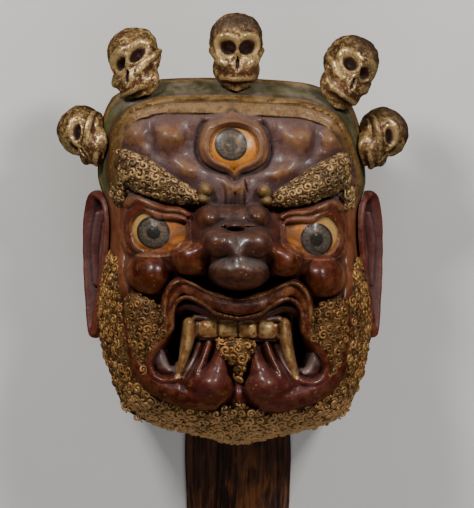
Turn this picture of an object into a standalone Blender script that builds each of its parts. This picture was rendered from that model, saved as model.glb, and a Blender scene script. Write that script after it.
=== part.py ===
"""Carved wooden dance mask of a three-eyed wrathful deity, with a crown of five skulls.

The mask lies on its back rim: +Z points out of the face, +Y towards the crown and +X to the
right of someone looking at the face. Lengths in this file are millimetres until MM turns them
into metres. The face, the skulls and the ears are carvings, so each is described as a relief:
a height over a flat field, built from rounded bosses, rolls, pads and grooves.
"""
import bmesh
import bpy
import numpy as np
from mathutils import Matrix, Vector

MM = 0.001

# Driving dimensions of the mask, in millimetres
FACE_HALF_WIDTH = 136.0     # widest half of the face, at the jaw
FACE_HALF_HEIGHT = 184.0    # from the middle of the face to the chin and to the crown's edge
SIDE_HEIGHT = 88.0          # straight side wall, from the back rim to where the face curves over
EDGE_WIDTH = 48.0           # how far in the face goes on rising from its edge
EDGE_RISE = 72.0            # and how much it rises there
DOMING = 16.0               # extra bulge of the middle of the face
WALL = 9.0                  # thickness of the carved shell
LEAN = 0.02                 # the carving is slightly out of square, as the carver left it
LIP_LEVEL = 170.0           # level of the face's flat parts, where the drawn sizes are true
FLARE = 1 / 2600            # the sides spread by this share for each mm below that level
TUCK = 0.05                 # and the rim is drawn in again by this share at the back

FRINGE_WIDTH, FRINGE_THICKNESS = 108.0, 19.0
FRINGE_MIDDLE = 7.0         # the fringe hangs a little to the right
FRINGE_TOP, FRINGE_END = -150.0, -392.0
NOTCH_CLEARANCE = 3.0       # around the fringe, in the notch in the rim that it comes out of
NOTCH_START, NOTCH_LENGTH = -130.0, 90.0
SLOT_LEVELS = 60.0, 260.0   # the slots in the mouth's corners are cut between these levels
SEAT_CLEARANCE = 1.4        # between the mask's outside and the skulls and ears set on it

FACE_TRIANGLES = 4000
SKULL_TRIANGLES = 480
EAR_TRIANGLES = 200

# Right half of the face's outline, from the crown to the chin
FACE_OUTLINE = [(0, 182), (60, 180), (88, 175), (114, 161), (127, 141), (132, 112), (134, 84),
                (131, 68), (126, 52), (125, 30), (127, 3), (133, -22), (136, -55), (130.5, -94),
                (116, -134), (93, -159), (56, -171), (22, -179), (0, -183.5)]


for leftover in list(bpy.data.objects):
    bpy.data.objects.remove(leftover)


# ---------------------------------------------------------------- lines and blends

def curve(points, steps=8, closed=False):
    """Smooth line through the points: a Catmull-Rom spline with steps samples to a span."""
    p = np.array(points, float)
    if closed:
        p = np.vstack([p[-1], p, p[0], p[1]])
    else:
        p = np.vstack([2 * p[0] - p[1], p, 2 * p[-1] - p[-2]])
    t = np.linspace(0, 1, steps, endpoint=False)[:, None]
    a, b, c, d = p[:-3, None], p[1:-2, None], p[2:-1, None], p[3:, None]
    out = 0.5 * (2 * b + (c - a) * t + (2 * a - 5 * b + 4 * c - d) * t**2
                 + (3 * b - a - 3 * c + d) * t**3)
    out = out.reshape(-1, p.shape[1])
    return out if closed else np.vstack([out, p[-2]])


def mirrored(half):
    """Closed outline from its right half, which runs from the top to the bottom."""
    return list(half) + [(-x, y) for x, y in half[-2:0:-1]]


def nearest(path, px, py, closed=False):
    """Distance from each point to the path, and the share of the path's length run there."""
    start = path if closed else path[:-1]
    end = np.roll(path, -1, 0) if closed else path[1:]
    best = np.full(px.shape, 1e9)
    share = np.zeros(px.shape)
    for k, ((x0, y0), (x1, y1)) in enumerate(zip(start, end)):
        dx, dy = x1 - x0, y1 - y0
        t = np.clip(((px - x0) * dx + (py - y0) * dy) / (dx * dx + dy * dy + 1e-12), 0, 1)
        d = np.hypot(px - x0 - t * dx, py - y0 - t * dy)
        share = np.where(d < best, (k + t) / len(start), share)
        best = np.minimum(best, d)
    return best, share


def inward(path, px, py):
    """Distance in from a closed path, negative outside it."""
    d, _ = nearest(path, px, py, closed=True)
    inside = np.zeros(px.shape, bool)
    for (x0, y0), (x1, y1) in zip(path, np.roll(path, -1, 0)):
        crosses = (y0 > py) != (y1 > py)
        inside ^= crosses & (px < (x1 - x0) * (py - y0) / (y1 - y0 + 1e-12) + x0)
    return np.where(inside, d, -d)


def smooth_max(a, b, k):
    """The higher of two surfaces, blended over a fillet of size k."""
    h = np.clip(0.5 + 0.5 * (a - b) / k, 0, 1)
    return b + (a - b) * h + k * h * (1 - h)


def ease(x):
    """0 to 1 with a soft start and a soft end."""
    x = np.clip(x, 0, 1)
    return x * x * (3 - 2 * x)


def rounded(q):
    """Quarter-round profile: 1 at q = 0, 0 at q = 1, and falling away steeply beyond it."""
    return np.where(q < 0, 1, np.where(q < 1, np.sqrt(np.maximum(0, 1 - q * q)), -(q - 1) * 1.6))


# ---------------------------------------------------------------- carving

class Relief:
    """A height over a flat field, carved with rounded shapes.

    Every carving call may work on both halves at once; x is then measured from the middle.
    """

    def __init__(self, half_x, half_y, pitch, lean=0.0):
        self.xs = np.arange(-half_x, half_x + pitch / 2, pitch)
        self.ys = np.arange(-half_y, half_y + pitch / 2, pitch)
        x, y = np.meshgrid(self.xs, self.ys)
        self.u = x + lean * y
        self.v = y + lean * x
        self.side = np.abs(self.u)
        self.h = np.zeros(x.shape)

    def near(self, points, reach, both):
        """Part of the field around some points, and its coordinates."""
        p = np.array(points, float)[:, :2]
        lo, hi = p.min(0) - reach, p.max(0) + reach
        x = self.side if both else self.u
        part = (x > lo[0]) & (x < hi[0]) & (self.v > lo[1]) & (self.v < hi[1])
        return part, x[part], self.v[part]

    def boss(self, at, radii, top, foot=0.0, turn=0.0, blend=4.0, both=True, power=2.0, corner=2.0):
        """Rounded boss: half an ellipsoid, flatter with a higher power, squarer with a higher corner."""
        part, x, y = self.near([at], max(radii) * 1.6 + 8, both)
        c, s = np.cos(np.radians(turn)), np.sin(np.radians(turn))
        x, y = x - at[0], y - at[1]
        q = (np.abs((x * c + y * s) / radii[0]) ** corner
             + np.abs((y * c - x * s) / radii[1]) ** corner) ** (1 / corner)
        z = np.where(q < 1, np.maximum(0, 1 - q**power) ** (1 / power), -(q - 1) * 1.6)
        self.h[part] = smooth_max(self.h[part], foot + (top - foot) * z, blend)

    def swell(self, at, radii, height, turn=0.0, both=True):
        """Soft swelling, or a hollow with a negative height, with a bell profile."""
        part, x, y = self.near([at], max(radii) * 2.6, both)
        c, s = np.cos(np.radians(turn)), np.sin(np.radians(turn))
        x, y = x - at[0], y - at[1]
        q = np.hypot((x * c + y * s) / radii[0], (y * c - x * s) / radii[1])
        self.h[part] += height * np.exp(-q * q)

    def roll(self, points, width, top, foot=0.0, blend=3.0, both=True, flat=0.0):
        """Rounded moulding along a path; its half width and top may vary along the path."""
        width, top = np.atleast_1d(width).astype(float), np.atleast_1d(top).astype(float)
        part, x, y = self.near(points, width.max() * 1.6 + 6, both)
        d, t = nearest(curve(points), x, y)
        w = np.interp(t, np.linspace(0, 1, len(width)), width)
        z = np.interp(t, np.linspace(0, 1, len(top)), top)
        q = np.maximum(d - flat * w, 0) / (w * (1 - flat))
        self.h[part] = smooth_max(self.h[part], foot + (z - foot) * rounded(q), blend)

    def groove(self, points, width, depth, both=True, closed=False):
        """Rounded cut along a path; its depth may vary along the path."""
        depth = np.atleast_1d(depth).astype(float)
        part, x, y = self.near(points, width * 2.8, both)
        d, t = nearest(curve(points, closed=closed), x, y, closed)
        self.h[part] -= np.interp(t, np.linspace(0, 1, len(depth)), depth) * np.exp(-(d / width) ** 2)

    def pad(self, points, top, foot=0.0, edge=6.0, blend=2.5, both=True):
        """Raised field inside an outline, with a rounded edge."""
        part, x, y = self.near(points, 14, both)
        d = inward(curve(points, closed=True), x, y)
        surface = foot + (top - foot) * rounded(1 - d / edge)
        self.h[part] = smooth_max(self.h[part], surface, blend)

    def sink(self, points, floor, edge=5.0, both=True):
        """Sunk field inside an outline: the surface drops to the floor over the edge's width."""
        part, x, y = self.near(points, 14, both)
        z = ease(inward(curve(points, closed=True), x, y) / edge)
        self.h[part] += (np.minimum(self.h[part], floor) - self.h[part]) * z

    def at(self, x, y):
        """Height at any places in the field, from the four nearest samples."""
        pitch = self.xs[1] - self.xs[0]
        i = np.clip((x - self.xs[0]) / pitch, 0, len(self.xs) - 1.001)
        j = np.clip((y - self.ys[0]) / pitch, 0, len(self.ys) - 1.001)
        i0, j0 = i.astype(int), j.astype(int)
        fi, fj = i - i0, j - j0
        low = self.h[j0, i0] * (1 - fi) + self.h[j0, i0 + 1] * fi
        high = self.h[j0 + 1, i0] * (1 - fi) + self.h[j0 + 1, i0 + 1] * fi
        return low * (1 - fj) + high * fj


# ---------------------------------------------------------------- the face

CHEEK, NOSE, EYE, THIRD_EYE = (87, -15), (1.6, -11), (82, 25), (0, 113)
CHIN_LOBE = (27, -127)
EYE_OPENING = [(49, 30), (50, 37.5), (62, 39.5), (77, 39.5), (86, 44.5), (93.5, 47), (100, 42),
               (104, 33), (104, 24), (100, 14), (92, 8), (82, 6), (66, 7.5), (56, 13.5), (50.5, 22)]
EYELIDS = [(44.5, 18), (44.5, 32), (46, 41), (50, 46), (60, 49.5), (72, 50.5), (84, 54.5), (93, 59),
           (101, 60), (107, 50), (111, 37), (111.5, 20), (108, 9), (99, 2), (85, 1), (68, 2.5),
           (55, 8), (48, 13)]
EYEBROW = [(36, 61), (44, 71), (55, 78), (67, 86), (80, 95.5), (95, 103), (109, 108), (117, 106),
           (119, 96), (118, 86), (112, 75), (97, 66), (82, 60), (67, 55.5), (52, 54.5), (40, 56)]
THIRD_OPENING = mirrored([(0, 135.5), (12, 133), (21.5, 125.5), (25, 113), (22.5, 102), (14, 95.5),
                          (6, 92), (0, 87)])
THIRD_LIDS = mirrored([(0, 151), (7, 145.5), (18, 141), (28, 136), (34, 124), (35.5, 110), (30, 97),
                       (16, 89), (7, 86), (0, 79)])
LIP_MIDDLE = [(0, -47), (17, -44), (31, -38), (44, -31.5), (54, -28.5), (62, -33), (68, -43),
              (69.5, -58), (69, -72)]
LIP_BEAD = [(0, -39), (15, -37), (30, -32), (44, -25), (55, -21.5), (65, -26), (71, -36), (73, -51),
            (72, -66), (76, -76), (86, -88)]
LIP_CREST = [(0, -58), (20, -54), (31.5, -46.5), (43.5, -40), (53, -38), (60, -42.5), (64.5, -52),
             (65.5, -70)]
MOUTH = [(0, -58), (20, -54), (31.5, -46.5), (43.5, -40), (53, -38), (60, -42.5), (65, -52),
         (66, -70), (72, -80), (80, -90), (84, -102), (80, -113), (66, -116), (50, -112), (40, -98),
         (36, -84), (0, -84)]
MOUTH_SLOT = [(55.5, -54), (56, -63), (56.5, -78), (58, -92), (60, -104.5), (65, -102.5), (70, -91),
              (66.5, -79), (63, -68), (60, -56)]
MOUTH_CORNER = [(71.5, -73.5), (77.5, -83.5), (85, -92), (89.5, -102), (89, -110), (85, -116.5),
                (76.5, -121.5), (66, -121.5), (60, -119)]
GUM = [(58, -49.5), (52, -47), (44, -47.5), (34, -51.5), (22, -57.5), (0, -62.5)]
FANG = [(-48, -64), (-49, -76), (-53, -92), (-57.5, -107), (-61.5, -117.5)]
RIGHT_FANG = [(46.5, -63), (47.5, -76), (50.5, -92), (54.5, -106), (58.5, -115.5)]
MOUTH_FLESH = [(60, -107), (66, -105), (71, -97), (76, -89), (84, -96), (88, -106), (84, -116),
               (72, -121), (60, -119)]
WHISKERS = [(77, -47), (88, -39.5), (103, -35), (112, -43), (112, -60), (109, -79), (104.5, -95),
            (97, -111), (91.5, -114), (92.5, -104), (90, -95), (82.5, -86), (74, -76), (73, -62)]
GOATEE = [(-22, -79), (-8, -78), (8, -78), (17, -80), (17, -90), (9, -104), (1, -122), (-5, -106),
          (-16, -98), (-21, -90)]
JAW_ROLL = [(117, -8), (114, -25), (112, -45), (111, -62), (109, -77), (106, -92), (101, -109),
            (91, -122), (76, -131), (58, -137), (40, -141), (27, -143)]
BEARD_INNER = [(120, 2), (118.5, -15), (116, -30), (114, -42), (114, -60), (111.5, -80),
               (109, -97), (107, -112), (101.5, -122), (94, -131), (84, -139), (70, -145),
               (53, -149), (36, -152), (20, -150), (0, -142)]
BEARD_OUTER = [(0, -198), (22, -194), (60, -186), (104, -172), (128, -142), (143, -100), (149, -50),
               (143, 6)]


def carve_forehead(face):
    """Knuckled forehead with heavy brows that meet over the nose."""
    face.swell((101, 122), (12, 12), 8)
    face.swell((64, 122), (16, 14), 11)
    face.swell((90, 107), (8, 7), 3)
    face.swell((49, 89), (19, 10), 8, turn=30)
    face.roll([(119, 60), (117, 30), (115, 0), (113, -30)], [6, 6, 6, 4], [6, 6, 5, 3], -3)
    face.pad(EYEBROW, 17, -3, edge=14, blend=4)
    face.pad([(112, 76), (120, 72), (122, 60), (117, 52), (110, 56), (108, 66)], 9, -3, edge=7)
    face.groove([(36, 52), (52, 52), (67, 53), (84, 58), (100, 66), (112, 74)], 3, 5)
    face.swell((0, 72), (16, 18), 9, both=False)
    face.boss((29, 70), (7.5, 7.5), 16, blend=5)
    face.boss((32, 60), (6, 6), 13)
    face.groove([(8, 50), (9, 62), (10, 76)], 2.0, 4)
    face.groove([(0, 52), (0, 66)], 2.0, 4, both=False)


def carve_eyes(face):
    """Two round staring eyes in heavy lids, and the third one upright in the forehead."""
    face.swell(EYE, (40, 34), -9)
    face.pad(EYELIDS, 7, -10, edge=8, blend=3)
    face.roll([(107, 54), (98, 58), (84, 53.5), (70, 49.5), (56, 48.5), (47, 44)], [4, 5, 5, 4.5, 4, 3],
              [8, 10, 10, 9, 8, 6], blend=2)
    face.sink(EYE_OPENING, -5, edge=3)
    face.boss(EYE, (42, 31), 5, -9, blend=1.5)
    face.groove(THIRD_LIDS, 4, 6, both=False, closed=True)
    face.pad(THIRD_LIDS, 9, -3, edge=7, both=False)
    face.sink(THIRD_OPENING, -2, edge=3, both=False)
    face.boss(THIRD_EYE, (29, 25), 10, -4, blend=2, both=False)


def carve_nose(face):
    """Snub nose under a folded bridge, with wide wings that run into the round cheeks."""
    face.swell((0, 10), (60, 60), 6, both=False)
    face.boss((-3, 42), (33, 13), 31, blend=6, both=False)
    face.boss((-26, 40), (13, 14), 38, 10, blend=5, both=False)
    face.boss((20.5, 42), (13, 13), 38, 10, blend=5, both=False)
    face.swell((-3, 46), (7, 12), -4, both=False)
    face.boss((1, 9), (35, 25), 53, 8, blend=8, both=False, power=2.5, corner=2.4)
    face.boss((-17.5, 17.5), (18, 15), 59, 36, blend=12, both=False)
    face.boss((15.5, 17.5), (20, 16), 59.5, 36, blend=12, both=False)
    face.roll([(22, 19), (36, 10), (50, 2)], [12, 12, 14], [50, 47, 42], blend=9)
    face.boss((48, 1), (17.5, 17), 46, 24, blend=8)
    face.roll([(50, 0), (64, 1), (78, 3)], [14, 9, 5], [34, 24, 14], blend=9)
    face.boss(NOSE, (32, 19.5), 65, 18, blend=7, both=False, power=2.1)
    face.roll([(-1, 26), (0, 12), (1, -6)], [12, 13, 12], [54, 59, 62], 36, blend=9, both=False)
    face.swell((-1, 22), (6, 9), -3.5, both=False)
    face.groove([(33, 14), (34, 2), (31, -14)], 3, [0.5, 1.5, 4])
    face.groove([(-25, 29), (-14, 29.5), (-2, 30.5), (10, 30), (22, 30.5)], 3.4, [4, 9, 13, 9, 4], both=False)
    face.boss(CHEEK, (24, 22), 27, -3, blend=6)


def carve_mouth(face):
    """Roaring mouth: wide curled lip, two fangs, four front teeth, and the corners' cups."""
    face.roll(LIP_MIDDLE, [12, 11.5, 10, 9.5, 9, 8.5, 7.5, 6, 5.5],
              [31, 29, 27, 25, 24, 22, 20, 17, 14], 2, blend=2.5, flat=0.45)
    face.roll(LIP_BEAD, [4.2, 4.2, 4, 3.6, 3.6, 3.6, 3.6, 3.6, 4, 4, 3],
              [36, 34, 32, 30, 29, 27, 25, 22, 19, 16, 12], 6, blend=2)
    face.groove([(-52, -17), (-38, -21), (-24, -31), (0, -36), (24, -31), (38, -21), (52, -17)], 5,
                [5, 12, 12, 10, 12, 12, 5], both=False)
    face.sink(MOUTH, -16, edge=4)
    face.pad(MOUTH_FLESH, 4, -14, edge=9, blend=6)
    face.roll(GUM, [4, 5.5, 6.5, 6.5, 6, 5], [6, 10, 12, 12, 12, 11], -14, blend=4)
    face.sink(MOUTH_SLOT, -24, edge=2.5)
    face.roll(LIP_CREST, 3, [28, 27, 26, 25, 24, 22, 18, 12], blend=1.5)
    face.roll([(-42, -58), (-20, -60.5), (0, -62.5), (20, -60.5), (42, -58)], 5, 9, -14, both=False)
    face.roll([(-40, -70), (0, -71), (40, -70)], 9.5, 8.5, -14, blend=2, both=False, flat=0.6)
    for x in (10, 29):
        face.boss((x, -69), (10.4, 9.2), 12.5, 0, blend=1, power=2.4, corner=3.0)
    for path in (FANG, RIGHT_FANG):
        face.roll(path, [7.8, 7.6, 6.6, 5.4, 3.2], [15, 16, 16, 15, 12], -8, blend=1, both=False)


def carve_chin(face):
    """Chin in two folded lobes, the jaw's roll, and the pads that carry the curled beard."""
    face.roll([(17, -92), (21, -108), (27, -125)], [5, 12, 18], [10, 22, 30], -4, blend=5)
    face.boss(CHIN_LOBE, (22, 20), 31, blend=6)
    face.roll([(29, -84), (34, -98), (41, -113), (47, -127)], [4.5, 5.5, 8, 11], [6, 12, 18, 20],
              -8, blend=8)
    face.roll([(39, -84), (43.5, -98), (51, -113), (61, -127)], [3.5, 4, 6, 9], [3, 8, 13, 15],
              -8, blend=8)
    face.roll(MOUTH_CORNER, 5, [15, 15, 15, 14, 14, 14, 16, 16, 15])
    face.roll(JAW_ROLL, [6, 7, 7, 7, 7.5, 8, 9, 10, 11, 12, 12, 9],
              [4, 6, 7, 8, 9, 11, 14, 17, 20, 22, 22, 20], -2, blend=8)
    face.pad(WHISKERS, 11, edge=6, blend=2)
    face.pad(GOATEE, 16, -8, edge=7, blend=3, both=False)
    face.boss((0, -138), (9, 16), 12, -4, blend=5, both=False)
    face.pad(BEARD_INNER + [(0, -150)] + BEARD_OUTER, 9, -1, edge=6)


LEFT_SQUEEZE, RIGHT_SQUEEZE = 0.46, 0.72    # how much narrower the band is at the foot of each side
SQUEEZE_FROM, LEFT_DROP, RIGHT_DROP = 158.0, 40.0, 75.0     # where that sets in, and over what height
STRIP_END = 39.5                            # the band's width over the forehead
PEAK_RISE, PEAK_HALF = 4.5, 19.0            # over the third eye the strip gives way to a point


def carve_band(face, depth):
    """Crown band around the forehead: bead, cove, bead and a flat strip, inwards from the edge."""
    above = ease((face.v - 62) / 8)
    squeeze = 1 - np.where(face.u < 0, LEFT_SQUEEZE * ease((SQUEEZE_FROM - face.v) / LEFT_DROP),
                           RIGHT_SQUEEZE * ease((SQUEEZE_FROM - face.v) / RIGHT_DROP))
    d = depth / squeeze
    cove = -2.6 * np.sin(np.pi * np.clip((d - 3) / 14.4, 0, 1))
    band = np.maximum(4.8 * rounded(np.abs(d - 1.4) / 3.0), cove)
    band = np.maximum(band, 6.4 * rounded(np.abs(d - 20.3) / 3.3))
    band = np.maximum(band, 3.5 * (d > 20.5))
    end = STRIP_END - PEAK_RISE * np.maximum(0, 1 - face.side / PEAK_HALF) ** 1.5
    face.h += (band - face.h) * above * ease((end + 1 - d) / 3)
    face.h -= 2 * np.exp(-((d - end - 1) / 1.8) ** 2) * above


def carve_face(pitch):
    """The whole relief of the mask's front, as heights over the back rim."""
    face = Relief(FACE_HALF_WIDTH + 14, FACE_HALF_HEIGHT + 14, pitch, LEAN)
    carve_forehead(face)
    carve_eyes(face)
    carve_nose(face)
    carve_mouth(face)
    carve_chin(face)
    depth = inward(curve(mirrored(FACE_OUTLINE), closed=True), face.u, face.v)
    carve_band(face, depth)
    face.h += vault(face.u, face.v, depth)
    return face


def vault(u, v, depth):
    """The uncarved form: quarter-round over the edge's width, and a slight dome over it all."""
    rise = np.sqrt(np.maximum(0, 1 - np.clip(1 - depth / EDGE_WIDTH, 0, 1) ** 2))
    bulge = np.maximum(0, 1 - (u / 138) ** 2) * np.maximum(0, 1 - (v / 184) ** 2)
    return SIDE_HEIGHT + EDGE_RISE * rise + DOMING * bulge


# ---------------------------------------------------------------- surfaces and solids

def patch(outline, columns, rows, squeeze=4, edge_width=0.0):
    """Grid of points that fills an outline: straight inside, following the outline at its edge.

    A square grid is stretched over the outline's box, and each point is moved along its line
    from the centre so that the square's edge lands on the outline. With an edge width, the
    rings near the edge are closer together, as a quarter-round there needs.
    """
    lo, hi = outline.min(0), outline.max(0)
    centre, half = (lo + hi) / 2, (hi - lo) / 2
    a, b = np.meshgrid(np.linspace(-1, 1, columns), np.linspace(-1, 1, rows))
    ring = np.maximum(np.abs(a), np.abs(b))
    angle = np.arctan2(b * half[1], a * half[0])
    spokes = np.arctan2(outline[:, 1] - centre[1], outline[:, 0] - centre[0])
    order = np.argsort(spokes)
    reach = np.hypot(*(outline - centre).T)[order]
    reach = np.interp(angle, spokes[order], reach, period=2 * np.pi)
    square = np.maximum(np.hypot(a * half[0], b * half[1]), 1e-9)
    stretch = 1 + (reach * ring / square - 1) * ring**squeeze
    if edge_width:
        start = 1 - edge_width / half.min()
        t = np.clip((ring - start) / (1 - start), 0, 1)
        even = start + (1 - start) * np.sin(t * np.pi / 2)
        stretch *= np.where(ring > start, even / np.maximum(ring, 1e-9), 1)
    return centre[0] + a * half[0] * stretch, centre[1] + b * half[1] * stretch


def border(grid):
    """Values round the edge of a grid, anticlockwise from its lower left corner."""
    return np.concatenate([grid[0, :-1], grid[:-1, -1], grid[-1, :0:-1], grid[:0:-1, 0]])


def grid_faces(index):
    """Quads over a grid of vertex numbers."""
    quads = np.stack([index[:-1, :-1], index[:-1, 1:], index[1:, 1:], index[1:, :-1]], -1)
    return quads.reshape(-1, 4)


def make_object(name, vertices, faces, scale=MM):
    """Object from vertices in millimetres and faces."""
    mesh = bpy.data.meshes.new(name)
    mesh.from_pydata((np.asarray(vertices) * scale).tolist(), [], [list(map(int, f)) for f in faces])
    mesh.validate()
    item = bpy.data.objects.new(name, mesh)
    bpy.context.collection.objects.link(item)
    return item


def carved_body(name, x, y, top, rings, back=None):
    """Closed body: a carved front grid, wall rings from its edge, and a back grid or a flat back.

    rings lists (share of the way out from the middle, level) pairs, going down from the front.
    """
    columns, rows = x.shape[1], x.shape[0]
    index = np.arange(columns * rows).reshape(rows, columns)
    points = [np.stack([x.ravel(), y.ravel(), top.ravel()], 1)]
    faces = [grid_faces(index)]
    edge = border(index)
    ex, ey = border(x), border(y)
    cx, cy = (x.min() + x.max()) / 2, (y.min() + y.max()) / 2
    count = columns * rows
    for share, level in rings:
        ring = np.arange(count, count + len(edge))
        points.append(np.stack([cx + (ex - cx) * share, cy + (ey - cy) * share,
                                np.full(len(ring), level)], 1))
        after, before = np.roll(ring, -1), np.roll(edge, -1)
        faces.append(np.stack([before, edge, ring, after], 1))
        edge = ring
        count += len(ring)
    if back is None:
        faces.append(edge[None, ::-1])
    else:
        inner = np.arange(count, count + (columns - 2) * (rows - 2)).reshape(rows - 2, columns - 2)
        points.append(np.stack([x[1:-1, 1:-1].ravel(), y[1:-1, 1:-1].ravel(),
                                back[1:-1, 1:-1].ravel()], 1))
        full = np.zeros((rows, columns), int)
        full[1:-1, 1:-1] = inner
        full[0, :-1], full[:-1, -1] = edge[:columns - 1], edge[columns - 1:columns + rows - 2]
        full[-1, :0:-1] = edge[columns + rows - 2:2 * columns + rows - 3]
        full[:0:-1, 0] = edge[2 * columns + rows - 3:]
        faces.append(grid_faces(full)[:, ::-1])
    return make_object(name, np.vstack(points), [f for group in faces for f in group])


def prism(name, outline, low, high):
    """Closed prism over an outline, from one level to another."""
    n = len(outline)
    points = [(x, y, low) for x, y in outline] + [(x, y, high) for x, y in outline]
    sides = [(k, (k + 1) % n, n + (k + 1) % n, n + k) for k in range(n)]
    return make_object(name, points, [list(range(n))[::-1], list(range(n, 2 * n))] + sides)


def settle(item):
    """Replace an object's mesh by what its modifiers make of it."""
    bpy.context.view_layer.update()
    mesh = bpy.data.meshes.new_from_object(item.evaluated_get(bpy.context.evaluated_depsgraph_get()))
    item.modifiers.clear()
    item.data = mesh
    return item


def thin_out(item, triangles):
    """Fewer triangles: as many as the form needs, and no more on its flat parts."""
    item.data.calc_loop_triangles()
    step = item.modifiers.new("Decimate", "DECIMATE")
    step.ratio = triangles / len(item.data.loop_triangles)
    return clean(settle(item))


def cut(item, cutter):
    """Cut one closed body away from another one."""
    step = item.modifiers.new("Cut", "BOOLEAN")
    step.operation = "DIFFERENCE"
    step.solver = "EXACT"
    step.object = cutter
    settle(item)
    bpy.data.objects.remove(cutter)
    return item


def clean(item, merge=0.02):
    """Join points that lie closer than the merge distance, and split the faces into triangles."""
    mesh = bmesh.new()
    mesh.from_mesh(item.data)
    bmesh.ops.remove_doubles(mesh, verts=mesh.verts, dist=merge * MM)
    bmesh.ops.dissolve_degenerate(mesh, edges=mesh.edges, dist=merge * MM / 2)
    bmesh.ops.triangulate(mesh, faces=mesh.faces)
    bmesh.ops.recalc_face_normals(mesh, faces=mesh.faces)
    mesh.to_mesh(item.data)
    mesh.free()
    return item


def spread(item):
    """Widen a body towards the back: by the flare below the lip's level."""
    mesh = item.data
    co = np.empty(len(mesh.vertices) * 3, np.float32)
    mesh.vertices.foreach_get("co", co)
    co = co.reshape(-1, 3).astype(float)
    co[:, :2] *= (1 + (LIP_LEVEL - co[:, 2:] / MM) * FLARE)
    mesh.vertices.foreach_set("co", co.ravel())
    mesh.update()
    return item


def paint(item, name, colour, roughness, metallic=0.0):
    """Give a piece its own material and smooth shading."""
    material = bpy.data.materials.new(name)
    material.use_nodes = True
    shader = material.node_tree.nodes["Principled BSDF"]
    shader.inputs["Base Color"].default_value = (*colour, 1)
    shader.inputs["Roughness"].default_value = roughness
    shader.inputs["Metallic"].default_value = metallic
    item.data.materials.clear()
    item.data.materials.append(material)
    item.data.shade_smooth()
    item.data.set_sharp_from_angle(angle=np.radians(50))
    return item


# ---------------------------------------------------------------- the mask's shell

def lowest_around(z, reach):
    """Lowest value within a square reach of samples, along each axis in turn."""
    for axis in (0, 1):
        shifted = [np.roll(z, k, axis) for k in range(-reach, reach + 1)]
        z = np.minimum.reduce(shifted)
    return z


def averaged(z, reach, times=2):
    """Running mean along each axis, repeated."""
    for _ in range(times):
        for axis in (0, 1):
            z = sum(np.roll(z, k, axis) for k in range(-reach, reach + 1)) / (2 * reach + 1)
    return z


def build_shell(face):
    """Hollow mask: the carved front less an inner hollow, two slots and the neck's notch."""
    outline = curve(mirrored(FACE_OUTLINE), closed=True)
    outline = np.stack([outline[:, 0] - LEAN * outline[:, 1], outline[:, 1] - LEAN * outline[:, 0]], 1)
    x, y = patch(outline, 160, 210, edge_width=26)
    top = face.at(x, y)
    steps = np.linspace(0, 1, 9)[1:]
    rings = [(1 - TUCK * s, SIDE_HEIGHT * (1 - s)) for s in steps]
    shell = thin_out(carved_body("mask_shell", x, y, top, rings), FACE_TRIANGLES)
    flatten_rim(shell)

    inner = inner_surface(face)
    inset = curve(mirrored(FACE_OUTLINE), 3, closed=True)
    inset = np.stack([inset[:, 0] - LEAN * inset[:, 1], inset[:, 1] - LEAN * inset[:, 0]], 1)
    inset = inset * (1 - (WALL + 3) / np.abs(inset).max(0))
    x, y = patch(inset, 14, 18, edge_width=20)
    rings = [(1.0, 60), (0.985, 30), (0.96, -12)]
    hollow = carved_body("hollow", x, y, inner.at(x, y), rings)
    cut(shell, clean(hollow))
    for side in (-1, 1):
        slot = curve(MOUTH_SLOT, 2, closed=True)
        slot = slot.mean(0) + (slot - slot.mean(0)) * 0.92
        slot = np.stack([side * slot[:, 0], slot[:, 1]], 1)[::side]
        cut(shell, prism("slot", slot - LEAN * slot[:, ::-1], *SLOT_LEVELS))
    cut(shell, notch_cutter())
    clean(shell, 0.05)
    return spread(shell)


def inner_surface(face):
    """Inside of the carving: the front's lowest level nearby, less the wall, worn smooth."""
    inner = Relief(FACE_HALF_WIDTH + 14, FACE_HALF_HEIGHT + 14, 3.0)
    x, y = np.meshgrid(inner.xs, inner.ys)
    inner.h = averaged(lowest_around(face.at(x, y), 2), 2) - WALL
    inner.h = np.minimum(inner.h, lowest_around(face.at(x, y), 2) - WALL + 1)
    return inner


def flatten_rim(shell):
    """Bring the rim back to its plane after thinning."""
    for vertex in shell.data.vertices:
        if abs(vertex.co.z) < 1.5 * MM:
            vertex.co.z = 0


def notch_cutter():
    """Low arch through the rim under the chin, where the fringe comes out."""
    half, height = FRINGE_WIDTH / 2 + NOTCH_CLEARANCE, FRINGE_THICKNESS + NOTCH_CLEARANCE
    arch = [(-half, -20), (half, -20), (half, height * 0.6), (half * 0.86, height),
            (-half * 0.86, height), (-half, height * 0.6)]
    cutter = prism("notch", arch, 0, NOTCH_LENGTH)
    place = Matrix.Translation(Vector((FRINGE_MIDDLE, NOTCH_START, 0)) * MM)
    cutter.data.transform(place @ Matrix.Rotation(np.pi / 2, 4, "X"))
    return cutter


# ---------------------------------------------------------------- skulls, ears and fringe

CRANIUM = ((0, 11, -4), (28, 28, 31))       # middle and radii, from the middle of the skull
JAW = ((0, -15, 4), (23.5, 22.5, 21))
SKULL_WRAP = 28.0                           # the carving is drawn on a sheet wrapped at this radius
SKULL_SHEET = 76.0                          # half of the sheet's width
SOCKET = (13.0, 4.8, 11.0, 8.6)             # a hole's middle and its half sizes, on the sheet
NOSE_SLIT = (0.0, -11.5, 2.2, 6.6)


def ray_reach(direction, middle, radii):
    """How far a ray from the origin runs to the far side of an ellipsoid that holds the origin."""
    d, c = direction / np.array(radii), np.array(middle) / np.array(radii)
    a, b = (d * d).sum(-1), (d * c).sum(-1)
    return (b + np.sqrt(b * b - a * ((c * c).sum() - 1))) / a


def socket_of(share):
    """One skull's socket: the plan's, with its size and half of its distance scaled by a share."""
    x, y, wide, high = SOCKET
    return (x * (1 + share) / 2, y, wide * share, high * share)


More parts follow.
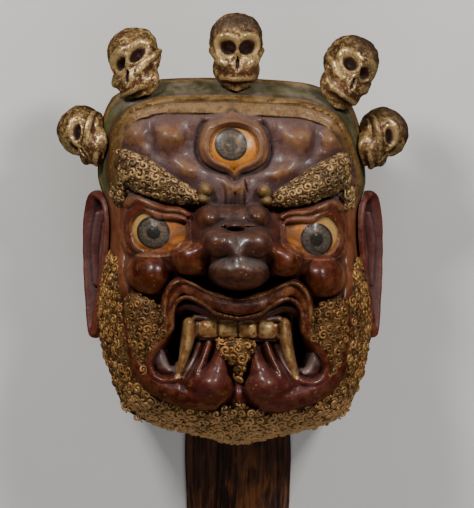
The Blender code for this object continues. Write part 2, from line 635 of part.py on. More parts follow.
def carve_skull(pitch, askew, socket):
    """Sheet with a skull's face: sockets, brow, cheekbones, nose slit, mouth and jaw."""
    skull = Relief(SKULL_SHEET + 4, SKULL_SHEET + 4, pitch, askew)
    skull.swell((0, 32), (26, 16), 1.0, both=False)
    skull.swell((38, 16), (10, 12), -2.5)
    skull.swell((17, 36), (13, 12), 0.8)
    skull.roll([(1, 11.5), (9, 13.5), (18, 11), (23, 4)], 4, [1, 2, 2.4, 1.5], -3)
    skull.roll([(58, 6), (45, 2), (34, -4), (24, -9), (14, -12)], [5, 7, 8, 7, 5],
               [-0.5, 2, 4.3, 4.3, 2], -3, blend=3)
    skull.groove([(50, -7), (42, -12), (32, -18), (22, -21), (12, -21)], 3.2, [0.5, 2, 3, 2.2, 0.5])
    skull.roll([(50, -10), (42, -24), (32, -34), (22, -38)], [6, 7, 7, 5], [0.5, 1.5, 2, 1], -3)
    skull.roll([(0, 8), (0, -5)], [2.5, 4.5], [1.0, 2.8], -3, both=False)
    for (x, y, wide, high), deep in ((socket, 10), (NOSE_SLIT, 4)):
        part, u, v = skull.near([(x, y)], 15, True)
        q = np.hypot((u - x) / wide, (v - y) / high)
        skull.h[part] -= deep * ease((1.2 - q) / 0.5)
    skull.roll([(-17, -27), (0, -25), (17, -27)], 3.4, [0.5, 2.5, 0.5], -3, both=False)
    skull.groove([(-19, -33), (-10, -31), (0, -30), (10, -31), (19, -33)], 1.9, [1, 3, 3.5, 3, 1], both=False)
    skull.roll([(-13, -39), (0, -38.5), (13, -39)], [3, 6, 3], [1, 5, 1], -3, both=False)
    return skull


def build_skull(name, at, size, askew, lean, turn, nod, sight):
    """One skull of the crown: size, how far askew, lean, turn and nod, and how wide its sockets are."""
    skull = carve_skull(0.75, askew, socket_of(sight))
    circle = np.linspace(0, 2 * np.pi, 120, endpoint=False)
    u, v = patch(SKULL_SHEET * np.stack([np.cos(circle), np.sin(circle)], 1), 57, 57)
    angle = np.hypot(u, v) / SKULL_WRAP
    share = np.sin(angle) / np.maximum(angle * SKULL_WRAP, 1e-9)
    direction = np.stack([u * share, v * share, np.cos(angle)], -1)
    reach = smooth_max(ray_reach(direction, *CRANIUM), ray_reach(direction, *JAW), 3)
    points = direction * (size * (reach + skull.at(u, v)))[..., None]
    index = np.arange(u.size).reshape(u.shape)
    faces = [tuple(f) for f in grid_faces(index)] + [tuple(border(index)[::-1])]
    item = thin_out(make_object(name, points.reshape(-1, 3), faces), SKULL_TRIANGLES)
    place = Matrix.Translation(Vector(at) * MM) @ Matrix.Rotation(np.radians(lean), 4, "Z")
    place = place @ Matrix.Rotation(np.radians(turn), 4, "Y") @ Matrix.Rotation(np.radians(nod), 4, "X")
    item.data.transform(place)
    return item


EAR_OUTLINE = [(0, 72), (10, 73), (18, 66), (22, 50), (22, 25), (18, -5), (11, -40), (4, -68),
               (-2, -74), (-8, -66), (-14, -40), (-19, -5), (-22, 25), (-21, 50), (-12, 66)]


def build_ear(name, side):
    """Long leaf-shaped ear, hollowed in front, standing out from the side of the face."""
    outline = curve(EAR_OUTLINE, closed=True)
    ear = Relief(26, 78, 1.0)
    depth = inward(outline, ear.u, ear.v)
    ear.h = 7 * rounded(np.clip(1 - depth / 5, 0, 1)) - 11 * ease((depth - 4) / 9)
    ear.roll([(2, 50), (6, 20), (2, -20)], [4, 5, 3], [4, 5, 2], -6)
    x, y = patch(outline, 22, 60)
    back = -3 - 9 * np.sqrt(np.maximum(0, 1 - (x / 24) ** 2)) * np.sqrt(np.maximum(0, 1 - (y / 76) ** 2))
    item = carved_body(name, x, y, ear.at(x, y), [(1.0, -3.0)], back)
    thin_out(item, EAR_TRIANGLES)
    if side < 0:
        item.data.transform(Matrix.Scale(-1, 4, (1, 0, 0)))
        item.data.flip_normals()
    place = (Matrix.Translation(Vector((side * 136, -4, 96)) * MM)
             @ Matrix.Rotation(np.radians(side * 3), 4, "Z")
             @ Matrix.Rotation(np.radians(side * 58), 4, "Y"))
    item.data.transform(place)
    return item


def seat_cutter(clearance):
    """Smooth block with the mask's outside, a little larger, that skulls and ears are cut by."""
    outline = curve(mirrored(FACE_OUTLINE), 4, closed=True)
    outline = np.stack([outline[:, 0] - LEAN * outline[:, 1], outline[:, 1] - LEAN * outline[:, 0]], 1)
    x, y = patch(outline, 34, 44, edge_width=26)
    depth = inward(outline, x, y)
    above = ease((y - 55) / 8)
    raised = 10.5 - 3.5 * above
    top = vault(x, y, np.maximum(depth, 0)) + raised
    grow = 1 + clearance / FACE_HALF_WIDTH
    rings = [(1.0, SIDE_HEIGHT), (1 - TUCK, 0.0)]
    cutter = carved_body("seat", x * grow, y * grow, top, rings)
    return spread(clean(cutter))


def build_fringe():
    """Flat bundle of long dyed hair that comes out under the chin and lies along the floor."""
    around, along = 22, 12
    t = np.linspace(0, 1, along)[:, None]
    a = np.linspace(0, 2 * np.pi, around, endpoint=False)[None, :]
    y = FRINGE_TOP + (FRINGE_END - FRINGE_TOP) * t
    half = FRINGE_WIDTH / 2 * (1 + 0.04 * np.sin(5 * t) - 0.10 * ease((t - 0.75) / 0.25))
    thick = FRINGE_THICKNESS * (1 - 0.35 * ease((t - 0.3) / 0.7))
    lumps = 1 + 0.10 * np.sin(a * 9 + 6 * t) * (np.sin(a) > -0.2)
    c, s = np.cos(a), np.sin(a)
    x = FRINGE_MIDDLE + half * np.sign(c) * np.abs(c) ** 0.7 + 1.5 * np.sin(7 * t)
    z = thick * (0.5 + 0.5 * np.sign(s) * np.abs(s) ** 0.6 * np.where(s > 0, lumps, 1))
    ragged = 9 * np.sin(a * 5 + 1) * ease((t - 0.8) / 0.2)
    y = y + ragged + 0 * x
    points = np.stack([x, y, np.maximum(z, 0)], -1).reshape(-1, 3)
    index = np.arange(along * around).reshape(along, around)
    closed = np.hstack([index, index[:, :1]])
    faces = [tuple(f) for f in grid_faces(closed)]
    faces += [tuple(index[0][::-1]), tuple(index[-1])]
    item = make_object("hair_fringe", points, faces)
    return clean(item)


# ---------------------------------------------------------------- the object

SKULLS = {   # middle, size, how far askew, angles of lean, turn and nod, and the sockets' share
    "skull_center": ((1.5, 208, 136), 1.0, 0.0, 0, 1, 0, 1.0),
    "skull_upper_left": ((-99.5, 194.4, 130), 0.97, -0.26, 15, -20, -8, 0.8),
    "skull_upper_right": ((113.6, 187.5, 130), 0.99, 0.08, -29, 18, -10, 0.8),
    "skull_lower_left": ((-146, 122.5, 110), 0.86, -0.28, 65, -36, -22, 0.72),
    "skull_lower_right": ((144.6, 120.8, 110), 0.86, 0.26, -60, 41, -16, 0.72),
}


def build_object():
    """Every piece, on one empty that brings the whole to its reference point."""
    face = carve_face(1.0)
    shell = build_shell(face)
    paint(shell, "carved_face", (0.133, 0.045, 0.026), 0.42)
    pieces = [shell]
    for name, where in SKULLS.items():
        item = cut(spread(build_skull(name, *where)), seat_cutter(SEAT_CLEARANCE))
        pieces.append(paint(clean(item), name, (0.36, 0.24, 0.12), 0.5, 0.2))
    for name, side in (("ear_left", -1), ("ear_right", 1)):
        item = cut(spread(build_ear(name, side)), seat_cutter(SEAT_CLEARANCE))
        pieces.append(paint(clean(item), name, (0.16, 0.03, 0.02), 0.5))
    pieces.append(paint(spread(build_fringe()), "hair_fringe", (0.02, 0.008, 0.005), 0.7))
    corners = np.array([item.matrix_world @ Vector(c) for item in pieces for c in item.bound_box])
    middle = (corners.min(0) + corners.max(0)) / 2
    stand = bpy.data.objects.new("mask", None)
    bpy.context.collection.objects.link(stand)
    stand.location = (-middle[0], -middle[1], -corners[:, 2].min())
    for item in pieces:
        item.parent = stand
    bpy.context.view_layer.update()


build_object()
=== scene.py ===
# %% [markdown]
# # A carved wooden dance mask
#
# The mask shows a wrathful guardian with three eyes, two fangs, curled gilded brows and beard,
# and five skulls on its crown. It is carved from light wood, painted with lacquer, gilded in
# places and worn by long use. A bundle of dyed hair hangs under the chin.
#
# The measured solids of the mask are already there, made in another program. They fix where
# every piece is and how big it is. This script gives each of them its real surface, and it lays
# the mask on its back rim, as it would lie on a table: +Z comes out of the face and +Y points to
# the crown.

# %% Setup
from copy import copy

import bpy
import numpy as np
from mathutils import Matrix, Vector


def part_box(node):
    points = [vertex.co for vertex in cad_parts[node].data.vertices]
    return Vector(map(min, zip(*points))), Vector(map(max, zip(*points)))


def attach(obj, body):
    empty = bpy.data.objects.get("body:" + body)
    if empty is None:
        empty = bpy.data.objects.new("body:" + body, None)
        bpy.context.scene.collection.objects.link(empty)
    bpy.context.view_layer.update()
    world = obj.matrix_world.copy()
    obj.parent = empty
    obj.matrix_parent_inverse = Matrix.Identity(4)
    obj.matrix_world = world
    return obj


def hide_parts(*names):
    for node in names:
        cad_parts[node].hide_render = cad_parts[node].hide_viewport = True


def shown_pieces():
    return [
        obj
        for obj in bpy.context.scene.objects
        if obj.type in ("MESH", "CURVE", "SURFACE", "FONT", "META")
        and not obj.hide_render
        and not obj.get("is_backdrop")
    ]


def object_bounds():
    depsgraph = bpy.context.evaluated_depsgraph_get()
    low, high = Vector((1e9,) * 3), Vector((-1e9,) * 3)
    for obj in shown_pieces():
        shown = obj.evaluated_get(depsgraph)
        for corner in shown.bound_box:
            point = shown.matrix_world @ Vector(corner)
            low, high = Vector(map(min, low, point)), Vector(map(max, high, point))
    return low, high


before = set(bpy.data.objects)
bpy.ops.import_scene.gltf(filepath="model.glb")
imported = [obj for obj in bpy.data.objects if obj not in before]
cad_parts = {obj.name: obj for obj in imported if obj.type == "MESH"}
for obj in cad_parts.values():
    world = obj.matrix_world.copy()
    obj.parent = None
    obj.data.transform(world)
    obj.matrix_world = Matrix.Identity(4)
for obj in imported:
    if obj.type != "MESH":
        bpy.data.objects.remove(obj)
solid_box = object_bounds()
MM = 0.001
rng = np.random.default_rng(5)
print("solids to dress:", ", ".join(sorted(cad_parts)))

# %% [markdown]
# ## Lines and blends
#
# Wood carving is a play of outlines and of swellings. Outlines are drawn as smooth lines through
# a few points. Swellings are heights over a flat field, and two of them meet in a small fillet,
# as a gouge leaves it. These few functions are the whole tool box for both.


# %% Lines and blends
def curve(points, steps=8, closed=False):
    """Smooth line: each span blends four neighbouring points with cubic Catmull-Rom weights."""
    p = np.array(points, float)
    if closed:
        p = np.vstack([p[-1], p, p[0], p[1]])
    else:
        p = np.vstack([2 * p[0] - p[1], p, 2 * p[-1] - p[-2]])
    t = np.linspace(0, 1, steps, endpoint=False)[:, None]
    a, b, c, d = p[:-3, None], p[1:-2, None], p[2:-1, None], p[3:, None]
    out = 0.5 * (2 * b + (c - a) * t + (2 * a - 5 * b + 4 * c - d) * t**2
                 + (3 * b - a - 3 * c + d) * t**3)
    out = out.reshape(-1, p.shape[1])
    return out if closed else np.vstack([out, p[-2]])


def mirrored(half):
    """Closed outline from its right half, which runs from the top to the bottom."""
    return list(half) + [(-x, y) for x, y in half[-2:0:-1]]


def whole(*half):
    """Path from left to right whose right half is given, from the middle outwards."""
    return [(-x, y) for x, y in half[:0:-1]] + list(half)


def echoed(*half):
    """Numbers along such a path, given from the middle outwards."""
    return list(half[:0:-1]) + list(half)


def nearest(path, px, py, closed=False):
    """Distance of each point to its foot on the nearest span, and the share of the path there."""
    start = path if closed else path[:-1]
    end = np.roll(path, -1, 0) if closed else path[1:]
    best = np.full(px.shape, 1e9)
    share = np.zeros(px.shape)
    for k, ((x0, y0), (x1, y1)) in enumerate(zip(start, end)):
        dx, dy = x1 - x0, y1 - y0
        t = np.clip(((px - x0) * dx + (py - y0) * dy) / (dx * dx + dy * dy + 1e-12), 0, 1)
        d = np.hypot(px - x0 - t * dx, py - y0 - t * dy)
        share = np.where(d < best, (k + t) / len(start), share)
        best = np.minimum(best, d)
    return best, share


def inward(path, px, py):
    """Distance in from a closed path, negative outside it, which an odd count of crossings tells."""
    d, _ = nearest(path, px, py, closed=True)
    inside = np.zeros(px.shape, bool)
    for (x0, y0), (x1, y1) in zip(path, np.roll(path, -1, 0)):
        crosses = (y0 > py) != (y1 > py)
        inside ^= crosses & (px < (x1 - x0) * (py - y0) / (y1 - y0 + 1e-12) + x0)
    return np.where(inside, d, -d)


STEEP = 1.6                     # how fast a rounded form falls away beyond its edge


def smooth_max(a, b, k):
    """The higher of two surfaces; where they are within k of each other a parabola rounds the join."""
    h = np.clip(0.5 + 0.5 * (a - b) / k, 0, 1)
    return b + (a - b) * h + k * h * (1 - h)


def ease(x):
    """0 to 1 with a soft start and a soft end: 3 x squared less 2 x cubed."""
    x = np.clip(x, 0, 1)
    return x * x * (3 - 2 * x)


def rounded(q):
    """Quarter-round profile: 1 at q = 0, 0 at q = 1, and falling away steeply beyond it."""
    return np.where(q < 0, 1, np.where(q < 1, np.sqrt(np.maximum(0, 1 - q * q)), -(q - 1) * STEEP))


def averaged(z, reach, times=2):
    """Running mean over reach samples on either side, along each axis, repeated."""
    for _ in range(times):
        for axis in (0, 1):
            total = np.cumsum(np.concatenate([np.take(z, range(-reach - 1, 0), axis), z,
                                              np.take(z, range(reach), axis)], axis), axis)
            n = z.shape[axis]
            z = (np.take(total, range(2 * reach + 1, 2 * reach + 1 + n), axis)
                 - np.take(total, range(n), axis)) / (2 * reach + 1)
    return z


def grain(shape, reach, seed):
    """Smooth random field: white noise averaged over reach samples, scaled to a spread of one."""
    field = averaged(np.random.default_rng(seed).standard_normal(shape), reach, 3)
    return (field - field.mean()) / field.std()


print("a curve through 4 points has", len(curve([(0, 0), (1, 0), (1, 1), (0, 1)], closed=True)), "samples")

# %% [markdown]
# ## The carver's field
#
# The front of the mask can be seen from one side without anything hiding behind anything else,
# so a height over a flat field describes it: no sculpting by hand, and every form has a size
# that can be changed. Each method below is one kind of cut: a boss, a swelling, a roll along a
# path, a groove, a raised pad and a sunk field. Most forms come in pairs, so a cut is made on both
# halves at once, unless it goes through once().


# %% The carver's field
class Relief:
    """A height over a flat field, carved with rounded shapes."""

    def __init__(self, half_x, half_y, pitch, lean=0.0):
        self.xs = np.arange(-half_x, half_x + pitch / 2, pitch)
        self.ys = np.arange(-half_y, half_y + pitch / 2, pitch)
        x, y = np.meshgrid(self.xs, self.ys)
        self.u = x + lean * y
        self.v = y + lean * x
        self.side = np.abs(self.u)
        self.h = np.zeros(x.shape)

    def once(self):
        """The same field for cuts that are made in one place only, not on both halves."""
        view = copy(self)
        view.side = self.u
        return view

    def near(self, points, reach):
        """Part of the field around some points, and its coordinates."""
        p = np.array(points, float)[:, :2]
        lo, hi = p.min(0) - reach, p.max(0) + reach
        part = (self.side > lo[0]) & (self.side < hi[0]) & (self.v > lo[1]) & (self.v < hi[1])
        return part, self.side[part], self.v[part]

    def around(self, at, radii, reach, turn=0.0, corner=2.0):
        """Part of the field around a place, and its distance from there in units of the radii."""
        part, x, y = self.near([at], reach)
        c, s = np.cos(np.radians(turn)), np.sin(np.radians(turn))
        x, y = x - at[0], y - at[1]
        q = (np.abs((x * c + y * s) / radii[0]) ** corner
             + np.abs((y * c - x * s) / radii[1]) ** corner) ** (1 / corner)
        return part, q

    def boss(self, at, radii, top, foot=0.0, blend=4.0, power=2.0, corner=2.0):
        """Boss: the root of one less the distance squared, in units of the radii.

        A higher power makes it flatter on top, and a higher corner makes its outline squarer.
        """
        part, q = self.around(at, radii, max(radii) * 1.6 + 8, corner=corner)
        z = np.where(q < 1, np.maximum(0, 1 - q**power) ** (1 / power), -(q - 1) * STEEP)
        self.h[part] = smooth_max(self.h[part], foot + (top - foot) * z, blend)

    def swell(self, at, radii, height, turn=0.0):
        """Bell profile: the height times e to the minus distance squared; negative makes a hollow."""
        part, q = self.around(at, radii, max(radii) * 2.6, turn)
        self.h[part] += height * np.exp(-q * q)

    def roll(self, points, width, top, foot=0.0, blend=3.0, flat=0.0):
        """Moulding: a quarter-round of the distance to a path, with half width and top varying along it."""
        width, top = np.atleast_1d(width).astype(float), np.atleast_1d(top).astype(float)
        part, x, y = self.near(points, width.max() * 1.6 + 6)
        d, t = nearest(curve(points), x, y)
        w = np.interp(t, np.linspace(0, 1, len(width)), width)
        z = np.interp(t, np.linspace(0, 1, len(top)), top)
        q = np.maximum(d - flat * w, 0) / (w * (1 - flat))
        self.h[part] = smooth_max(self.h[part], foot + (z - foot) * rounded(q), blend)

    def groove(self, points, width, depth, closed=False):
        """Cut with a bell profile across a path; its depth may vary along the path."""
        depth = np.atleast_1d(depth).astype(float)
        part, x, y = self.near(points, width * 2.8)
        d, t = nearest(curve(points, closed=closed), x, y, closed)
        self.h[part] -= np.interp(t, np.linspace(0, 1, len(depth)), depth) * np.exp(-(d / width) ** 2)

    def pad(self, points, top, foot=0.0, edge=6.0, blend=2.5):
        """Raised field: a quarter-round of the distance in from an outline, then level."""
        part, x, y = self.near(points, 14)
        d = inward(curve(points, closed=True), x, y)
        surface = foot + (top - foot) * rounded(1 - d / edge)
        self.h[part] = smooth_max(self.h[part], surface, blend)

    def sink(self, points, floor, edge=5.0):
        """Sunk field: inside an outline the height eases down to a floor over the edge's width."""
        part, x, y = self.near(points, 14)
        z = ease(inward(curve(points, closed=True), x, y) / edge)
        self.h[part] += (np.minimum(self.h[part], floor) - self.h[part]) * z

    def at(self, x, y, field=None):
        """Height, or another field, at any places: a mean of the four nearest samples by nearness."""
        field = self.h if field is None else field
        pitch = self.xs[1] - self.xs[0]
        i = np.clip((x - self.xs[0]) / pitch, 0, len(self.xs) - 1.001)
        j = np.clip((y - self.ys[0]) / pitch, 0, len(self.ys) - 1.001)
        i0, j0 = i.astype(int), j.astype(int)
        fi, fj = i - i0, j - j0
        low = field[j0, i0] * (1 - fi) + field[j0, i0 + 1] * fi
        high = field[j0 + 1, i0] * (1 - fi) + field[j0 + 1, i0 + 1] * fi
        return low * (1 - fj) + high * fj


# %% [markdown]
# ## Outlines of the face
#
# All sizes below are millimetres from the middle of the face, and most outlines are drawn for
# the right half only. The mask's edge is a rounded square that is a little narrower at the ears.
# The eyes are not almonds but stretched drops that hang from a heavy brow, and the upper lip
# rises over the fangs in two arches. Those lines give the mask its temper, so they get the most
# points.

# %% Outlines of the face
LEAN = 0.02                     # the carving is slightly out of square, as the carver left it
FACE_HALF_WIDTH, FACE_HALF_HEIGHT = 136.0, 184.0
SIDE_HEIGHT = 88.0              # straight side wall under the face's rounded edge
EDGE_WIDTH, EDGE_RISE, DOMING = 48.0, 72.0, 16.0
WALL = 9.0                      # thickness of the wood
LIP_LEVEL, FLARE, TUCK = 170.0, 1 / 2600, 0.05

FACE_OUTLINE = [(0, 182), (60, 180), (88, 175), (114, 161), (127, 141), (132, 112), (134, 84),
                (131, 68), (126, 52), (125, 30), (127, 3), (133, -22), (136, -55), (130.5, -94),
                (116, -134), (93, -159), (56, -171), (22, -179), (0, -183.5)]
CHEEK, NOSE, EYE, THIRD_EYE = (87, -15), (1.6, -11), (82, 25), (0, 113)
CHIN_LOBE = (27, -127)
EYE_OPENING = [(49, 30), (50, 37.5), (62, 39.5), (77, 39.5), (86, 44.5), (93.5, 47), (100, 42),
               (104, 33), (104, 24), (100, 14), (92, 8), (82, 6), (66, 7.5), (56, 13.5), (50.5, 22)]
EYELIDS = [(44.5, 18), (44.5, 32), (46, 41), (50, 46), (60, 49.5), (72, 50.5), (84, 54.5), (93, 59),
           (101, 60), (107, 50), (111, 37), (111.5, 20), (108, 9), (99, 2), (85, 1), (68, 2.5),
           (55, 8), (48, 13)]
EYEBROW = [(36, 61), (44, 71), (55, 78), (67, 86), (80, 95.5), (95, 103), (109, 108), (117, 106),
           (119, 96), (118, 86), (112, 75), (97, 66), (82, 60), (67, 55.5), (52, 54.5), (40, 56)]
TEMPLE = [(112, 76), (120, 72), (122, 60), (117, 52), (110, 56), (108, 66)]
THIRD_OPENING = mirrored([(0, 135.5), (12, 133), (21.5, 125.5), (25, 113), (22.5, 102), (14, 95.5),
                          (6, 92), (0, 87)])
THIRD_LIDS = mirrored([(0, 151), (7, 145.5), (18, 141), (28, 136), (34, 124), (35.5, 110), (30, 97),
                       (16, 89), (7, 86), (0, 79)])
LIP_MIDDLE = [(0, -47), (17, -44), (31, -38), (44, -31.5), (54, -28.5), (62, -33), (68, -43),
              (69.5, -58), (69, -72)]
LIP_BEAD = [(0, -39), (15, -37), (30, -32), (44, -25), (55, -21.5), (65, -26), (71, -36), (73, -51),
            (72, -66), (76, -76), (86, -88)]
LIP_CREST = [(0, -58), (20, -54), (31.5, -46.5), (43.5, -40), (53, -38), (60, -42.5), (64.5, -52),
             (65.5, -70)]
MOUTH = LIP_CREST[:6] + [(65, -52), (66, -70), (72, -80), (80, -90), (84, -102), (80, -113), (66, -116),
                         (50, -112), (40, -98), (36, -84), (0, -84)]
MOUTH_SLOT = [(55.5, -54), (56, -63), (56.5, -78), (58, -92), (60, -104.5), (65, -102.5), (70, -91),
              (66.5, -79), (63, -68), (60, -56)]
MOUTH_CORNER = [(71.5, -73.5), (77.5, -83.5), (85, -92), (89.5, -102), (89, -110), (85, -116.5),
                (76.5, -121.5), (66, -121.5), (60, -119)]
GUM = [(58, -49.5), (52, -47), (44, -47.5), (34, -51.5), (22, -57.5), (0, -62.5)]
FANG = [(-48, -64), (-49, -76), (-53, -92), (-57.5, -107), (-61.5, -117.5)]
RIGHT_FANG = [(46.5, -63), (47.5, -76), (50.5, -92), (54.5, -106), (58.5, -115.5)]
MOUTH_FLESH = [(60, -107), (66, -105), (71, -97), (76, -89), (84, -96), (88, -106), (84, -116),
               (72, -121), (60, -119)]
WHISKERS = [(77, -47), (88, -39.5), (103, -35), (112, -43), (112, -60), (109, -79), (104.5, -95),
            (97, -111), (91.5, -114), (92.5, -104), (90, -95), (82.5, -86), (74, -76), (73, -62)]
GOATEE = [(-22, -79), (-8, -78), (8, -78), (17, -80), (17, -90), (9, -104), (1, -122), (-5, -106),
          (-16, -98), (-21, -90)]
JAW_ROLL = [(117, -8), (114, -25), (112, -45), (111, -62), (109, -77), (106, -92), (101, -109),
            (91, -122), (76, -131), (58, -137), (40, -141), (27, -143)]
BEARD_INNER = [(120, 2), (118.5, -15), (116, -30), (114, -42), (114, -60), (111.5, -80),
               (109, -97), (107, -112), (101.5, -122), (94, -131), (84, -139), (70, -145),
               (53, -149), (36, -152), (20, -150), (0, -142)]
BEARD_OUTER = [(0, -198), (22, -194), (60, -186), (104, -172), (128, -142), (143, -100), (149, -50),
               (143, 6)]
BEARD = BEARD_INNER + [(0, -150)] + BEARD_OUTER

LEFT_IRIS, RIGHT_IRIS, THIRD_IRIS = (-82, 25.8), (81, 22.3), (-3, 115.5)


def leaning(steps=8):
    """The mask's edge in the frame's axes, from which the face leans a little."""
    line = curve(mirrored(FACE_OUTLINE), steps, closed=True)
    return line - LEAN * line[:, ::-1]


def face_axes(x, y):
    """Places in the face's own leaning axes."""
    return x + LEAN * y, y + LEAN * x


edge_line = leaning()
print("face outline: %.0f mm wide, %.0f mm high" % tuple(np.ptp(edge_line, 0)))

# %% [markdown]
# ## Carving the forehead and the eyes
#
# The forehead is a low wall of knuckles that meets the heavy brows. The brows are raised pads,
# because the gilded curls are carved on them. Each eye is a ball in a sunk opening, with a thick
# rolled lid whose rim is a thin bead. The third eye stands upright in the forehead, in a lid
# that is folded like a petal and ends in a point over the nose.


# %% Carving the forehead and the eyes
def carve_forehead(face):
    """Swellings for the knuckles, pads for brows and temples, and creases between them."""
    once = face.once()
    face.swell((101, 122), (12, 12), 8)
    face.swell((64, 122), (16, 14), 11)
    face.swell((90, 107), (8, 7), 3)
    face.swell((49, 89), (19, 10), 8, turn=30)
    face.groove([(84, 140), (83, 124), (80, 108), (68, 100)], 5, [1, 4, 3, 1])
    face.groove([(44, 134), (44, 118), (38, 100)], 5, [1, 3, 1])
    face.roll([(119, 60), (117, 30), (115, 0), (113, -30)], [6, 6, 6, 4], [6, 6, 5, 3], -3)
    face.pad(EYEBROW, 17, -3, edge=14, blend=4)
    face.pad(TEMPLE, 9, -3, edge=7)
    face.groove([(36, 52), (52, 52), (67, 53), (84, 58), (100, 66), (112, 74)], 3, 5)
    once.swell((0, 72), (16, 18), 9)
    face.boss((29, 70), (7.5, 7.5), 16, blend=5)
    face.boss((32, 60), (6, 6), 13)
    for x, top in ((4, 3), (9, 4)):
        face.groove([(x * 1.1, 52), (x, 60), (x * 1.3, 74)], 1.6, [3, top, 1])
    once.groove([(0, 52), (0, 66)], 2.0, 4)


def carve_eyes(face):
    """Sunk openings with bosses for the balls, pads and rolls for the lids, thin beads for rims."""
    once = face.once()
    face.swell(EYE, (40, 34), -9)
    face.pad(EYELIDS, 7, -10, edge=8, blend=3)
    face.roll([(107, 54), (98, 58), (84, 53.5), (70, 49.5), (56, 48.5), (47, 44)], [4, 5, 5, 4.5, 4, 3],
              [8, 10, 10, 9, 8, 6], blend=2)
    face.roll(EYELIDS + EYELIDS[:1], 1.3, 1.4, 0.2, blend=0.8)
    face.sink(EYE_OPENING, -5, edge=2)
    face.boss(EYE, (42, 31), 5, -9, blend=1.5)
    face.swell(EYE, (13, 13), 1.2)
    face.groove(EYE_OPENING, 1.0, 1.0, closed=True)
    face.groove([(108, 62), (99, 66), (85, 60), (70, 55.5), (54, 53), (42, 49)], 1.6, 2.4)
    once.groove(THIRD_LIDS, 4, 6, closed=True)
    once.pad(THIRD_LIDS, 9, -3, edge=7)
    once.groove(whole((0, 82), (8, 88.5), (24, 96), (31, 108), (29, 118)), 1.6,
                echoed(0.5, 1.6, 2.2, 1.8, 0.5))
    once.sink(THIRD_OPENING, -2, edge=2.2)
    once.boss(THIRD_EYE, (29, 25), 10, -4, blend=2)
    once.roll(whole((0, 149), (12, 144), (26, 141)), echoed(6, 6, 4), echoed(5, 4, 2), -2)
    once.roll(whole((0, 139), (12, 136.5), (22, 131)), echoed(3.6, 3.4, 2), echoed(13, 12.5, 9), 3, blend=2)


# %% [markdown]
# ## Carving the nose and the mouth
#
# The nose is snub and thick, under a bridge folded like a frown. Its wings run out into round
# cheeks. The mouth roars: a wide lip rises over each fang, and its rim is one bead from corner
# to corner. Behind the fangs the mask is cut right through, and the dancer looks out there.


# %% Carving the nose and the mouth
def carve_nose(face):
    """Bosses for bridge, ridge, tip, wings and cheeks; the frown's fold is a ragged groove."""
    once = face.once()
    once.swell((0, 10), (60, 60), 6)
    once.boss((-3, 42), (33, 13), 31, blend=6)
    once.boss((-26, 40), (13, 14), 38, 10, blend=5)
    once.boss((20.5, 42), (13, 13), 38, 10, blend=5)
    once.swell((-3, 46), (7, 12), -4)
    once.groove([(11, 51), (14, 43), (21, 39)], 1.8, [1, 2.5, 1])
    once.boss((1, 9), (35, 25), 53, 8, blend=8, power=2.5, corner=2.4)
    once.boss((-17.5, 17.5), (18, 15), 59, 36, blend=12)
    once.boss((15.5, 17.5), (20, 16), 59.5, 36, blend=12)
    face.roll([(22, 19), (36, 10), (50, 2)], [12, 12, 14], [50, 47, 42], blend=9)
    face.boss((48, 1), (17.5, 17), 46, 24, blend=8)
    face.roll([(50, 0), (64, 1), (78, 3)], [14, 9, 5], [34, 24, 14], blend=9)
    once.boss(NOSE, (32, 19.5), 64.5, 18, blend=7, power=2.1)
    once.roll([(-1, 26), (0, 12), (1, -6)], [12, 13, 12], [54, 59, 62], 36, blend=9)
    once.swell((-1, 22), (6, 9), -3.5)
    face.groove([(33, 14), (34, 2), (31, -14)], 3, [0.5, 1.5, 4])
    once.groove([(-25, 29), (-14, 29.5), (-2, 30.5), (10, 30), (22, 30.5)], 3.0, [3, 6, 12, 6, 3])
    once.roll([(-28, 28), (-19, 32.5), (-8, 35.5), (1, 32.8), (8, 34.2), (16, 34.8), (23, 31)],
              [1.6, 2.6, 3.0, 2.0, 2.5, 2.7, 1.6], [33, 37.5, 39, 35, 38, 38.5, 33], 22, blend=1.2)
    once.groove([(-9, 29.5), (-2, 30), (6, 29.8)], 2.0, [3, 7, 3])
    face.groove([(70, 14), (60, 12), (50, 17), (38, 26)], 2.2, [1, 3, 3, 1])
    face.boss(CHEEK, (24, 22), 27, -3, blend=6)
    face.groove([(62, -4), (63, -16), (70, -30), (84, -37)], 2.6, [0.5, 3, 3, 1])


